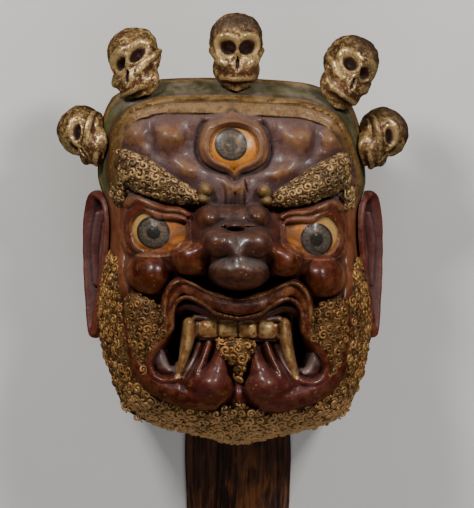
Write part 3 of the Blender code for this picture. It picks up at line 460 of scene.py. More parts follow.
def carve_mouth(face):
    """Rolls for the lip and its beads, a sunk field for the mouth, squarish bosses for the teeth."""
    once = face.once()
    face.roll(LIP_MIDDLE, [12, 11.5, 10, 9.5, 9, 8.5, 7.5, 6, 5.5],
              [31, 29, 27, 25, 24, 22, 20, 17, 14], 2, blend=2.5, flat=0.45)
    face.roll(LIP_BEAD, [4.2, 4.2, 4, 3.6, 3.6, 3.6, 3.6, 3.6, 4, 4, 3],
              [36, 34, 32, 30, 29, 27, 25, 22, 19, 16, 12], 6, blend=2)
    once.groove(whole((0, -36), (24, -31), (38, -21), (52, -17)), 5, echoed(10, 12, 12, 5))
    face.sink(MOUTH, -16, edge=4)
    face.pad(MOUTH_FLESH, 4, -14, edge=9, blend=6)
    face.roll(GUM, [4, 5.5, 6.5, 6.5, 6, 5], [6, 10, 12, 12, 12, 11], -14, blend=4)
    face.sink(MOUTH_SLOT, -24, edge=2.5)
    face.roll(LIP_CREST, 3, [28, 27, 26, 25, 24, 22, 18, 12], blend=1.5)
    face.groove([(0, -55.5), (20, -51.5), (31.5, -44.2), (44, -37), (55, -35), (62.5, -41), (67.5, -53)],
                1.1, 1.6)
    once.roll(whole((0, -62.5), (20, -60.5), (42, -58)), 5, 9, -14)
    once.roll(whole((0, -71), (40, -70)), 9.5, 8.5, -14, blend=2, flat=0.6)
    for x in (10, 29):
        face.boss((x, -69), (10.4, 9.2), 12.5, 0, blend=1, power=2.4, corner=3.0)
    face.groove([(19.6, -61), (19.6, -78)], 0.9, 1.6)
    once.groove([(0, -61), (0, -78)], 0.9, 1.6)
    once.roll(whole((0, -80.5), (38, -79.5)), 1.4, 5, 0, blend=1)
    for path in (FANG, RIGHT_FANG):
        once.roll(path, [7.8, 7.6, 6.6, 5.4, 3.2], [15, 16, 16, 15, 12], -8, blend=1)
        once.groove([(x * 0.905, y - 2) for x, y in path[1:]], 0.9, [0.5, 1.6, 1.6, 0.5])


# %% [markdown]
# ## Carving the chin and the crown band
#
# The chin is two lobes with folds of skin that run up to the teeth. Around it goes a pad that
# carries the curled beard. Over the forehead lies a band: a bead, a deep cove, a second bead and
# a flat strip. Its profile is a function of the distance in from the mask's edge alone, so it
# follows the edge all the way round by itself.


# %% Carving the chin and the crown band
FIELD = FACE_HALF_WIDTH + 14, FACE_HALF_HEIGHT + 14         # half sizes of the carved field
LEFT_SQUEEZE, RIGHT_SQUEEZE = 0.46, 0.72    # how much narrower the band is at the foot of each side
SQUEEZE_FROM, LEFT_DROP, RIGHT_DROP = 158.0, 40.0, 75.0     # where that sets in, and over what height
BEAD_END, COVE_END, RING_END, STRIP_END = 3.4, 17.4, 23.2, 39.5
PEAK_RISE, PEAK_HALF = 4.5, 19.0            # over the third eye the strip gives way to a point


def carve_chin(face):
    """Rolls for the folds and the jaw, bosses for the lobes, pads for the parts with curls."""
    once = face.once()
    face.roll([(17, -92), (21, -108), (27, -125)], [5, 12, 18], [10, 22, 30], -4, blend=5)
    face.boss(CHIN_LOBE, (22, 20), 31, blend=6)
    face.roll([(29, -84), (34, -98), (41, -113), (47, -127)], [4.5, 5.5, 8, 11], [6, 12, 18, 20],
              -8, blend=8)
    face.roll([(39, -84), (43.5, -98), (51, -113), (61, -127)], [3.5, 4, 6, 9], [3, 8, 13, 15],
              -8, blend=8)
    face.groove([(24, -86), (29, -102), (37, -118)], 1.8, [2, 3.5, 0.5])
    face.groove([(34, -86), (39.5, -101), (47, -117)], 1.6, [2, 3, 0.5])
    face.roll(MOUTH_CORNER, 5, [15, 15, 15, 14, 14, 14, 16, 16, 15])
    face.roll(JAW_ROLL, [6, 7, 7, 7, 7.5, 8, 9, 10, 11, 12, 12, 9],
              [4, 6, 7, 8, 9, 11, 14, 17, 20, 22, 22, 20], -2, blend=8)
    face.pad(WHISKERS, 11, edge=6, blend=2)
    once.pad(GOATEE, 16, -8, edge=7, blend=3)
    once.boss((0, -138), (9, 16), 12, -4, blend=5)
    face.pad(BEARD, 9, -1, edge=6)


def carve_band(face, depth):
    """Two quarter-rounds and a sine cove across the depth from the edge, squeezed at the sides."""
    above = ease((face.v - 62) / 8)
    squeeze = 1 - np.where(face.u < 0, LEFT_SQUEEZE * ease((SQUEEZE_FROM - face.v) / LEFT_DROP),
                           RIGHT_SQUEEZE * ease((SQUEEZE_FROM - face.v) / RIGHT_DROP))
    d = depth / squeeze
    cove = -2.6 * np.sin(np.pi * np.clip((d - 3) / 14.4, 0, 1)) + 0.35 * np.cos((d - 3) * 1.5)
    band = np.maximum(4.6 * rounded(np.abs(d - 1.4) / 2.7), cove)
    band = np.maximum(band, 6.2 * rounded(np.abs(d - 20.3) / 3.1))
    strip = 3.0 + 1.5 * np.exp(-((d - 27) / 2.4) ** 2)
    band = np.maximum(band, strip * (d > 22))
    band += 0.35 * grain(face.h.shape, 9, 3)
    end = STRIP_END - PEAK_RISE * np.maximum(0, 1 - face.side / PEAK_HALF) ** 1.5
    face.h += (band - face.h) * above * ease((end + 0.5 - d) / 2)
    face.h -= 0.7 * np.exp(-((d - end - 1) / 1.6) ** 2) * above


def vault(u, v, depth):
    """The uncarved form: a quarter-round over the edge's width, and a slight dome over it all."""
    rise = np.sqrt(np.maximum(0, 1 - np.clip(1 - depth / EDGE_WIDTH, 0, 1) ** 2))
    bulge = np.maximum(0, 1 - (u / 138) ** 2) * np.maximum(0, 1 - (v / 184) ** 2)
    return SIDE_HEIGHT + EDGE_RISE * rise + DOMING * bulge


def face_depth(u, v):
    """Distance in from the mask's edge, in the face's axes."""
    return inward(curve(mirrored(FACE_OUTLINE), closed=True), u, v)


def carve_face(pitch):
    """The whole front: the carving, then the uncarved form under it, and the marks of the tools."""
    face = Relief(*FIELD, pitch, LEAN)
    for step in (carve_forehead, carve_eyes, carve_nose, carve_mouth, carve_chin):
        step(face)
    depth = face_depth(face.u, face.v)
    carve_band(face, depth)
    face.h += 0.16 * grain(face.h.shape, 5, 11) + 0.30 * grain(face.h.shape, 12, 12)
    face.once().groove([(11, 84), (10.4, 79), (11.6, 73), (13, 66), (12, 60)], 0.7, [1.5, 3, 4, 3, 1])
    face.h += vault(face.u, face.v, depth)
    return face


PITCH = 0.5
face = carve_face(PITCH)
print("carved field: %d x %d samples, highest point %.1f mm over the rim" % (*face.h.shape, face.h.max()))

# %% [markdown]
# ## From a field to a body
#
# A field is not yet a thing with a thickness. The front becomes a grid that fills the outline,
# the side wall is a stack of rings under the grid's edge, and the back closes it. The grid is
# made by pulling a plain square grid out to the outline, so that its rows stay straight in the
# middle and run along the edge at the edge. The wood inside is then taken away with a second
# body, as the carver hollows it with a gouge.


# %% From a field to a body
def patch(outline, columns, rows, edge_width=0.0):
    """Grid that fills an outline: a point on the square's ring r moves along its spoke by r to the fourth.

    With an edge width, a sine of the way out brings the rings near the edge closer together.
    """
    lo, hi = outline.min(0), outline.max(0)
    centre, half = (lo + hi) / 2, (hi - lo) / 2
    a, b = np.meshgrid(np.linspace(-1, 1, columns), np.linspace(-1, 1, rows))
    ring = np.maximum(np.abs(a), np.abs(b))
    angle = np.arctan2(b * half[1], a * half[0])
    spokes = np.arctan2(outline[:, 1] - centre[1], outline[:, 0] - centre[0])
    order = np.argsort(spokes)
    reach = np.hypot(*(outline - centre).T)[order]
    reach = np.interp(angle, spokes[order], reach, period=2 * np.pi)
    square = np.maximum(np.hypot(a * half[0], b * half[1]), 1e-9)
    stretch = 1 + (reach * ring / square - 1) * ring**4
    if edge_width:
        start = 1 - edge_width / half.min()
        t = np.clip((ring - start) / (1 - start), 0, 1)
        even = start + (1 - start) * np.sin(t * np.pi / 2)
        stretch *= np.where(ring > start, even / np.maximum(ring, 1e-9), 1)
    return centre[0] + a * half[0] * stretch, centre[1] + b * half[1] * stretch


def border(grid):
    """Values round the edge of a grid, anticlockwise from its lower left corner."""
    return np.concatenate([grid[0, :-1], grid[:-1, -1], grid[-1, :0:-1], grid[:0:-1, 0]])


def grid_faces(index):
    """Quads over a grid of point numbers: each takes a corner and its neighbours right and above."""
    quads = np.stack([index[:-1, :-1], index[:-1, 1:], index[1:, 1:], index[1:, :-1]], -1)
    return quads.reshape(-1, 4)


def tube_faces(index):
    """Faces of a tube from the point numbers of its rings: quads around it and a cap at each end."""
    return [*grid_faces(np.hstack([index, index[:, :1]])), index[0][::-1], index[-1]]


def make_object(name, points, faces):
    """Object from points in millimetres and faces; a face may have any number of corners."""
    mesh = bpy.data.meshes.new(name)
    mesh.from_pydata((np.asarray(points) * MM).tolist(), [], [np.asarray(f).tolist() for f in faces])
    item = bpy.data.objects.new(name, mesh)
    bpy.context.collection.objects.link(item)
    return item


def carved_body(name, x, y, top, rings, back=None):
    """Closed body: the front grid, rings of its edge drawn in by a share at each level, and a back."""
    columns, rows = x.shape[1], x.shape[0]
    index = np.arange(columns * rows).reshape(rows, columns)
    points = [np.stack([x.ravel(), y.ravel(), top.ravel()], 1)]
    faces = [grid_faces(index)]
    edge = border(index)
    ex, ey = border(x), border(y)
    cx, cy = (x.min() + x.max()) / 2, (y.min() + y.max()) / 2
    count = columns * rows
    for share, level in rings:
        ring = np.arange(count, count + len(edge))
        points.append(np.stack([cx + (ex - cx) * share, cy + (ey - cy) * share,
                                np.full(len(ring), level)], 1))
        faces.append(np.stack([np.roll(edge, -1), edge, ring, np.roll(ring, -1)], 1))
        edge = ring
        count += len(ring)
    if back is None:
        faces.append(edge[None, ::-1])
    else:
        points.append(np.stack([g[1:-1, 1:-1].ravel() for g in (x, y, back)], 1))
        full = np.zeros((rows, columns), int)
        full.flat[border(index)] = edge
        full[1:-1, 1:-1] = count + np.arange(len(points[-1])).reshape(rows - 2, columns - 2)
        faces.append(grid_faces(full)[:, ::-1])
    return make_object(name, np.vstack(points), [f for group in faces for f in group])


def prism(name, outline, low, high):
    """Closed prism: an outline at two levels, joined by its sides."""
    n = len(outline)
    points = [(x, y, low) for x, y in outline] + [(x, y, high) for x, y in outline]
    sides = [(k, (k + 1) % n, n + (k + 1) % n, n + k) for k in range(n)]
    return make_object(name, points, [list(range(n))[::-1], list(range(n, 2 * n))] + sides)


def cut(item, cutter):
    """Take one closed body away from another one; where one solver leaves nothing, the next one cuts."""
    step = item.modifiers.new("Cut", "BOOLEAN")
    step.operation = "DIFFERENCE"
    step.object = cutter
    for solver in ("EXACT", "MANIFOLD"):
        step.solver = solver
        bpy.context.view_layer.update()
        mesh = bpy.data.meshes.new_from_object(item.evaluated_get(bpy.context.evaluated_depsgraph_get()))
        if len(mesh.polygons) > 0.2 * len(item.data.polygons):
            break
    item.modifiers.clear()
    mesh.materials.clear()
    item.data = mesh
    bpy.data.objects.remove(cutter)
    return item


def get_points(item):
    """The points of an object's mesh, in millimetres."""
    co = np.empty(len(item.data.vertices) * 3, np.float32)
    item.data.vertices.foreach_get("co", co)
    return co.reshape(-1, 3).astype(float) / MM


def set_points(item, points):
    """Move all the points of an object's mesh, in millimetres."""
    item.data.vertices.foreach_set("co", (points * MM).astype(np.float32).ravel())
    item.data.update()
    return item


def spread(item):
    """Widen a body towards the back: sideways lengths grow in step with the way down from the lip."""
    points = get_points(item)
    points[:, :2] *= 1 + (LIP_LEVEL - points[:, 2:]) * FLARE
    return set_points(item, points)


def settle(item, sharp=180):
    """Bring a piece from the face's middle to its place in the frame, and shade it smooth.

    Edges that turn by more than the sharp angle stay crisp.
    """
    set_points(item, get_points(item) + SHIFT)
    item.data.shade_smooth()
    if sharp < 180:
        item.data.set_sharp_from_angle(angle=np.radians(sharp))
    return item


def keep(item, **numbers):
    """Store numbers for each point of a mesh by their names, for the materials to read."""
    for name, values in numbers.items():
        stored = item.data.attributes.new(name, "FLOAT", "POINT")
        stored.data.foreach_set("value", np.asarray(values, np.float32).ravel())


low, high = (np.array(corner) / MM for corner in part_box("mask_shell"))
widest = edge_line * (1 + (LIP_LEVEL - SIDE_HEIGHT) * FLARE)
SHIFT = np.append((low + high)[:2] - widest.min(0) - widest.max(0), 0) / 2
print("middle of the face in the frame: %.2f, %.2f mm" % tuple(SHIFT[:2]))

# %% [markdown]
# ## The hollow shell
#
# A mask like this is one piece of wood about a centimetre thick, so that a dancer can carry it
# for hours. The inside follows the front only roughly: the hollow is the front's lowest level
# nearby, less the wall, with the scoops of a gouge in it. Two slots behind the fangs let the
# dancer see and breathe, and a low notch in the chin's rim lets the hair out.


# %% The hollow shell
def lowest_around(z, reach):
    """Lowest value within a square reach of samples: minimum along one axis, then along the other."""
    for axis in (0, 1):
        z = np.minimum.reduce([np.roll(z, k, axis) for k in range(-reach, reach + 1)])
    return z


def inner_surface(front):
    """Ceiling of the hollow: lowest front nearby, averaged, less the wall, less ridges between scoops."""
    inner = Relief(*FIELD, 2.0)
    x, y = np.meshgrid(inner.xs, inner.ys)
    around = lowest_around(front.at(x, y), 3)
    inner.h = np.minimum(averaged(around, 3) - WALL, around - WALL + 1)
    drift = 9 * grain(x.shape, 12, 21)
    strokes = np.abs(np.sin((x + drift) * np.pi / 17)) ** 0.6
    ends = np.abs(np.sin((y + 1.3 * x + 2 * drift) * np.pi / 46)) ** 0.4
    inner.h -= 1.5 * (1 - strokes * ends)
    return inner


def build_shell(front, columns, rows):
    """Front grid over six wall rings, less the hollow, the two slots and the notch."""
    x, y = patch(edge_line, columns, rows, edge_width=EDGE_GRID)
    rings = [(1 - TUCK * s, SIDE_HEIGHT * (1 - s)) for s in (0.06, 0.2, 0.4, 0.6, 0.8, 1.0)]
    shell = carved_body("mask", x, y, front.at(x, y), rings)
    inner = inner_surface(front)
    inset = leaning(3)
    inset *= 1 - (WALL + 3) / np.abs(curve(mirrored(FACE_OUTLINE), 3, closed=True)).max(0)
    x, y = patch(inset, 61, 81, edge_width=20)
    rings = [(1.0, 60), (0.985, 30), (0.96, -12)]
    cut(shell, carved_body("hollow", x, y, inner.at(x, y), rings))
    for side in (-1, 1):
        slot = curve(MOUTH_SLOT, 3, closed=True)
        slot = slot.mean(0) + (slot - slot.mean(0)) * 0.92
        slot = np.stack([side * slot[:, 0], slot[:, 1]], 1)[::side]
        cut(shell, prism("slot", slot - LEAN * slot[:, ::-1], 60, 260))
    half, height = FRINGE_WIDTH / 2 + 3, FRINGE_THICKNESS + 3
    arch = [(-half, -20), (half, -20), (half, height * 0.6), (half * 0.86, height),
            (-half * 0.86, height), (-half, height * 0.6)]
    notch = prism("notch", arch, 0, 90)
    place = Matrix.Translation(Vector((FRINGE_MIDDLE, -130, 0)) * MM)
    notch.data.transform(place @ Matrix.Rotation(np.pi / 2, 4, "X"))
    return cut(shell, notch)


EDGE_GRID = 26.0                # width along the edge where the grid is closer
FRINGE_WIDTH, FRINGE_THICKNESS, FRINGE_MIDDLE = 108.0, 19.0, 7.0
FRINGE_TOP, FRINGE_END = -150.0, -392.0
shell = build_shell(face, *(((250, 325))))
print("shell: %d faces" % len(shell.data.polygons))

# %% [markdown]
# ## What lies where on the face
#
# The paint follows the carving: yellow in the eyes, gold on the teeth, a green cove, and
# recesses darkened with dirt and painted shade. Each point of the mesh stores how far it is
# inside each outline, in millimetres. The materials turn those distances into crisp borders,
# which stay sharp between the points. A point's own height against the average height around it
# tells recesses, where dirt stays and shade is painted, from crests, where hands rub the paint off.


# %% What lies where on the face
def inside(outline, u, v, both=True):
    """Distance in from an outline, for both halves at once if asked."""
    return inward(curve(outline, 5, closed=True), np.abs(u) if both else u, v)


def brow_pads(u, v):
    """Distance in from the brows and the temples, which carry curls."""
    return np.maximum(inside(EYEBROW, u, v), inside(TEMPLE, u, v))


def beard_pads(u, v):
    """Distance in from the whiskers, the goatee and the beard."""
    return np.maximum.reduce([inside(WHISKERS, u, v), inside(GOATEE, u, v, False), inside(BEARD, u, v)])


def teeth(u, v):
    """Distance in from the front teeth and fangs: boxes with rounded corners, and a tapering path."""
    side = np.abs(u)
    row = np.full(u.shape, -50.0)
    for x in (10, 29):
        q = (np.abs((side - x) / 9.9) ** 3 + np.abs((v + 69) / 8.9) ** 3) ** (1 / 3)
        row = np.maximum(row, (1 - q) * 9)
    for path in (FANG, RIGHT_FANG):
        d, t = nearest(curve(path), u, v)
        row = np.maximum(row, np.interp(t, [0, 0.25, 0.5, 0.75, 1], [7.4, 7.2, 6.2, 5.0, 2.4]) - d)
    return row


def measure_face(item, front):
    """Store the distances and the relief of every point of the shell."""
    x, y, z = get_points(item).T
    u, v = face_axes(x, y)
    depth, skin = face_depth(u, v), front.at(x, y)
    wall = WALL_SLOPE * np.maximum(SIDE_HEIGHT - z, 0)
    lids, third_lids = inside(EYELIDS, u, v), inside(THIRD_LIDS, u, v, False)
    lip, bead, crest = (nearest(curve(line), np.abs(u), v)[0] for line in (LIP_MIDDLE, LIP_BEAD, LIP_CREST))
    irises = [np.hypot(u - x, v - y) for x, y in (LEFT_IRIS, RIGHT_IRIS, THIRD_IRIS)]
    keep(item, under=np.minimum(skin - z, depth - wall), inset=depth, rise=v, across=u,
         opening=np.maximum(inside(EYE_OPENING, u, v), inside(THIRD_OPENING, u, v, False)),
         lids=np.maximum(lids, third_lids), iris=np.minimum.reduce(irises) * IRIS_SCALE, tooth=teeth(u, v),
         mouth=inside(MOUTH, u, v), lip=12 - lip,
         trim=np.minimum.reduce([bead - 0.4, crest - 0.4, np.abs(lids - 1), np.abs(third_lids - 2)]),
         curled=np.maximum(brow_pads(u, v), beard_pads(u, v)))
    for name, reach in (("hollow", 2.5), ("broad", 9.0)):
        around = averaged(front.h, int(reach / PITCH), 2) - front.h
        keep(item, **{name: np.where(skin - z < 4, front.at(x, y, around), 0)})


WALL_SLOPE = TUCK * FACE_HALF_WIDTH / SIDE_HEIGHT
IRIS_SCALE = 15 / 15.8          # the paint's rings are meant for irises of 15 mm; these have 15.8 mm
measure_face(shell, face)
settle(spread(shell), sharp=60)
print("stored on each point:", ", ".join(a.name for a in shell.data.attributes if a.data_type == "FLOAT"))

# %% [markdown]
# ## The gilded curls
#
# Brows, whiskers, goatee and beard are several hundred little snail curls, side by side like
# shells. Carving them into the field would need a very fine grid, so three plain curls are made
# first: thin tubes on a spiral that climbs to its middle, with few faces.


# %% One curl
def curl_shape(turns, reach, thick, steps, sides):
    """Tube along a spiral: the radius falls with the way along it, and the height rises to the middle.

    The tube's thickness is a half sine, thin at the tail and round at the middle's end.
    """
    s = np.linspace(0, 1, steps)
    core = thick * 0.35
    radius = core + (reach - core) * (1 - s) ** 0.85 + 1.2 * np.maximum(0, 1 - s / 0.18) ** 2
    turn = 2 * np.pi * turns * s
    path = np.stack([radius * np.cos(turn), radius * np.sin(turn), 0.2 + 1.9 * s**1.3], 1)
    along = np.gradient(path, axis=0)
    along /= np.linalg.norm(along, axis=1)[:, None]
    out = np.cross(along, [0, 0, 1.0])
    out /= np.linalg.norm(out, axis=1)[:, None]
    up = np.cross(out, along)
    a = np.linspace(0, 2 * np.pi, sides, endpoint=False)
    width = thick * np.clip(np.sin(np.pi * (0.10 + 0.84 * s)) ** 0.5, 0.3, 1)
    ring = np.cos(a)[None, :, None] * out[:, None] + 1.15 * np.sin(a)[None, :, None] * up[:, None]
    points = path[:, None] + ring * width[:, None, None]
    faces = [f.tolist() for f in tube_faces(np.arange(steps * sides).reshape(steps, sides))]
    crest = np.broadcast_to(0.5 + 0.5 * np.sin(a), (steps, sides)) * 0.7 + 0.3 * s[:, None]
    return points.reshape(-1, 3), faces, crest.ravel()


CURLS = [curl_shape(1.5, 4.8, 1.45, 17, 5), curl_shape(1.2, 4.2, 1.55, 14, 5),
         curl_shape(0.8, 3.2, 1.5, 8, 4)]
for points, faces, _ in CURLS:
    print("curl: %d points, %d faces, %.1f mm across" % (len(points), len(faces), np.ptp(points[:, 0])))

# %% [markdown]
# ## Where the curls stand
#
# The curls are set down again and again: turned, mirrored and scaled by chance, and stood on the
# surface along its normal. Places are picked one by one, and each picked place clears a small
# circle around it, so that the curls crowd together but hardly touch. The gaps that stay open
# are filled with small ones in the same way.


# %% Where the curls stand
WALL_CURLS = 40.0               # how far down the side wall there may be curls
BEARD_FOOT, BEARD_WAVE = 62.0, 6.0          # level where the beard ends, and how much that wavers
EAR_SIDE, EAR_FOOT, EAR_TOP = 118.0, -12.0, 84.0            # no curls grow where an ear is set


def skin_points(front, columns, rows):
    """Places and normals all over the front and its upper side wall, in face coordinates.

    The normal of the front is the gradient of its height, turned over; the wall's points outwards.
    """
    x, y = patch(edge_line, columns, rows, edge_width=EDGE_GRID)
    step = 1.5
    soft = averaged(front.h, int(step / PITCH), 1)
    dx = (front.at(x + step, y, soft) - front.at(x - step, y, soft)) / (2 * step)
    dy = (front.at(x, y + step, soft) - front.at(x, y - step, soft)) / (2 * step)
    places = [np.stack([x, y, front.at(x, y)], -1)[2:-2, 2:-2].reshape(-1, 3)]
    normals = [np.stack([-dx, -dy, np.ones_like(dx)], -1)[2:-2, 2:-2].reshape(-1, 3)]
    ex, ey, ez = border(x), border(y), border(front.at(x, y))
    outwards = np.stack([np.roll(ey, -1) - np.roll(ey, 1), np.roll(ex, 1) - np.roll(ex, -1)], -1)
    for down in np.arange(0, WALL_CURLS, 1.2):
        share = 1 - TUCK * down / SIDE_HEIGHT
        places.append(np.stack([ex * share, ey * share, ez - down], -1))
        tilt = np.full(len(ex), np.hypot(*outwards.T).mean() * 0.6 * max(0, 1 - down / 6))
        normals.append(np.column_stack([outwards, tilt]))
    places, normals = np.vstack(places), np.vstack(normals)
    return places, normals / np.linalg.norm(normals, axis=1)[:, None]


def pick_places(places, wanted, gap, seed, taken=None, clear=0.0):
    """Numbers of places picked by chance: each picked place clears those nearer than the gap."""
    chance = np.random.default_rng(seed)
    left = chance.permutation(np.flatnonzero(wanted))
    if taken is not None:
        for place in places[taken]:
            left = left[((places[left] - place) ** 2).sum(1) > clear**2]
    picked = []
    while len(left):
        picked.append(left[0])
        left = left[((places[left] - places[left[0]]) ** 2).sum(1) > gap**2]
    return np.array(picked, int)


def stand(places, normals, seed, shapes, sizes, sunk=0.45):
    """Set a shape down at every place: turned by chance about the normal, half of them mirrored."""
    chance = np.random.default_rng(seed)
    kind = chance.integers(0, len(shapes), len(places))
    size = chance.uniform(*sizes, len(places))
    hand = chance.choice([-1.0, 1.0], len(places))
    turn = chance.uniform(0, 2 * np.pi, len(places))
    side = np.cross(normals, np.stack([np.cos(turn), np.sin(turn), 0.3 * np.ones(len(turn))], 1))
    side /= np.linalg.norm(side, axis=1)[:, None]
    front = np.cross(normals, side)
    shade = chance.uniform(0, 1, len(places))
    points, corners, crests, shades, count = [], [], [], [], 0
    for k, (shape, faces, crest) in enumerate(shapes):
        for flip in (-1.0, 1.0):
            use = np.flatnonzero((kind == k) & (hand == flip))
            local = shape[None] * size[use, None, None]
            stood = (places[use, None] + local[..., :1] * side[use, None]
                     + flip * local[..., 1:2] * front[use, None]
                     + (local[..., 2:] - sunk) * normals[use, None])
            points.append(stood.reshape(-1, 3))
            crests.append(np.tile(crest, len(use)))
            shades.append(np.repeat(shade[use], len(shape)))
            for start in range(count, count + stood[..., 0].size, len(shape)):
                corners += [[start + c for c in f[::int(flip)]] for f in faces]
            count += stood[..., 0].size
    return np.vstack(points), corners, np.concatenate(crests), np.concatenate(shades)


places, normals = skin_points(face, 200, 260)
u, v = face_axes(places[:, 0], places[:, 1])
level = places[:, 2]
brow_pad = (brow_pads(u, v) > 0.8) & ((u > -115) | (v < 77))     # the left brow stops short of the band
beard_pad = (beard_pads(u, v) > 0.9) & (level > BEARD_FOOT + BEARD_WAVE * np.sin(u / 9))
beard_pad &= ~((np.abs(places[:, 0]) > EAR_SIDE) & (v > EAR_FOOT) & (level < EAR_TOP))


def build_curls(name, wanted, seed, gap):
    """Curls all over a part of the skin, and small ones in the gaps between them."""
    big = pick_places(places, wanted, gap, seed)
    small = pick_places(places, wanted, gap * 0.72, seed + 1, big, gap * 0.64)
    parts = [stand(places[big], normals[big], seed, CURLS[:2], (0.78, 1.22), 0.7),
             stand(places[small], normals[small], seed, CURLS[2:], (0.6, 0.85), 0.3)]
    count = len(parts[0][0])
    points = np.vstack([p[0] for p in parts])
    item = make_object(name, points, parts[0][1] + [[c + count for c in f] for f in parts[1][1]])
    dull = inside(WHISKERS, *face_axes(points[:, 0], points[:, 1])) > -1
    keep(item, crest=np.concatenate([p[2] for p in parts]),
         shade=np.concatenate([p[3] for p in parts]) * np.where(dull, 0.5, 1.0))
    print("%s: %d curls and %d small ones, %d faces" % (name, len(big), len(small), len(item.data.polygons)))
    return settle(spread(item))


brow_curls = build_curls("brow_curls", brow_pad, 31, 7.3)
beard_curls = build_curls("beard_curls", beard_pad, 32, 8.2)

# %% [markdown]
# ## The five skulls
#
# A skull is a ball with a face on it. The face is carved on a flat sheet, as the mask's front is,
# and the sheet is then wrapped round the skull's middle: the distance from the sheet's centre
# becomes an angle, and the height on the sheet is added to the ball's own radius. The ball is an
# egg for the brain case and a smaller one for the jaw. One plan serves all five, but each has its
# own size and is a little askew, and they lean, turn and nod differently. A copy of the mask's
# outside cuts the seat of each one.


# %% The five skulls
NARROWING = 0.75                # how far the nose slit is drawn in towards its upper end
SKULL_PITCH = 0.5
SEAT_GAP = 0.9                  # left between the mask and what is set on it
CRANIUM = ((0, 11, -4), (28, 28, 31))
JAW = ((0, -15, 4), (23.5, 22.5, 21))
SKULL_WRAP, SKULL_SHEET = 28.0, 76.0
SOCKET, NOSE_SLIT = (13.0, 4.8, 11.0, 8.6), (0.0, -11.5, 1.8, 6.4)
SKULLS = {   # middle, size, how far askew, angles of lean, turn and nod, and the sockets' share
    "skull_center": ((1.5, 208, 136), 1.0, 0.0, 0, 1, 0, 1.0),
    "skull_upper_left": ((-99.5, 194.4, 130), 0.97, -0.26, 15, -20, -8, 0.8),
    "skull_upper_right": ((113.6, 187.5, 130), 0.99, 0.08, -29, 18, -10, 0.8),
    "skull_lower_left": ((-146, 122.5, 110), 0.86, -0.28, 65, -36, -22, 0.72),
    "skull_lower_right": ((144.6, 120.8, 110), 0.86, 0.26, -60, 41, -16, 0.72),
}


def ray_reach(direction, middle, radii):
    """Way along a ray to the far side of an egg around the origin: the larger root of a quadratic."""
    d, c = direction / np.array(radii), np.array(middle) / np.array(radii)
    a, b = (d * d).sum(-1), (d * c).sum(-1)
    return (b + np.sqrt(b * b - a * ((c * c).sum() - 1))) / a


def hole(u, v, x, y, wide, high):
    """Distance from a hole's middle in units of its half sizes; its upper half is drawn in to a point."""
    taper = 1 - NARROWING * np.clip((v - y) / high, 0, 1) * (x == 0)
    return np.hypot((u - x) / (wide * taper), (v - y) / high)


def socket_of(share):
    """One skull's socket: the plan's, with its size and half of its distance scaled by a share."""
    x, y, wide, high = SOCKET
    return (x * (1 + share) / 2, y, wide * share, high * share)


def carve_skull(pitch, askew, socket):
    """Sheet with a skull's face: sockets, brow, cheekbones, nose slit, mouth, and a row of teeth."""
    skull = Relief(SKULL_SHEET + 4, SKULL_SHEET + 4, pitch, askew)
    once = skull.once()
    once.swell((0, 32), (26, 16), 1.0)
    skull.swell((38, 16), (10, 12), -2.5)
    skull.swell((17, 36), (13, 12), 0.8)
    skull.roll([(1, 14), (11, 17), (22, 14), (28, 4)], 4, [1, 2, 2.4, 1.5], -3)
    skull.roll([(58, 6), (45, 2), (34, -4), (24, -9), (14, -12)], [5, 7, 8, 7, 5],
               [-0.5, 2, 4.3, 4.3, 2], -3, blend=3)
    skull.groove([(50, -7), (42, -12), (32, -18), (22, -21), (12, -21)], 3.2, [0.5, 2, 3, 2.2, 0.5])
    skull.roll([(50, -10), (42, -24), (32, -34), (22, -38)], [6, 7, 7, 5], [0.5, 1.5, 2, 1], -3)
    once.roll([(0, 8), (0, -5)], [2.5, 4.5], [1.0, 2.8], -3)
    for place, deep in ((socket, 10), (NOSE_SLIT, 4.5)):
        part, u, v = skull.near([place[:2]], 15)
        q = hole(u, v, *place)
        skull.h[part] -= deep * ease((1.2 - q) / 0.40)
        skull.h[part] += 0.6 * np.exp(-((q - 1.3) / 0.12) ** 2)
    once.roll(whole((0, -25), (8, -25.5), (17, -27)), 3.4, echoed(2.5, 2, 0.5), -3, blend=1.5)
    once.groove(whole((0, -30), (10, -31), (19, -33)), 1.9, echoed(3.5, 3, 1))
    once.roll(whole((0, -38.5), (13, -39)), echoed(6, 3), echoed(5, 1), -3, blend=1.5)
    for x in range(-15, 16, 3):
        drop = 0.012 * x * x
        once.groove([(x, -33.5 - drop), (x + 2, -43 - drop)], 0.6, [0.8, 0.8])
        once.groove([(x, -24 - drop), (x, -28.5 - drop)], 0.6, [0.3, 0.7])
    for rough, reach, seed in ((0.25, 2.2, 41), (0.14, 1.0, 42)):
        skull.h += rough * grain(skull.h.shape, int(reach / pitch), seed)
    return skull


def put(item, at, **turns):
    """Turn a piece about axes, the last one first, by degrees, and move it to a place."""
    place = Matrix.Translation(Vector(at) * MM)
    for axis, degrees in turns.items():
        place = place @ Matrix.Rotation(np.radians(degrees), 4, axis)
    item.data.transform(place)
    return item


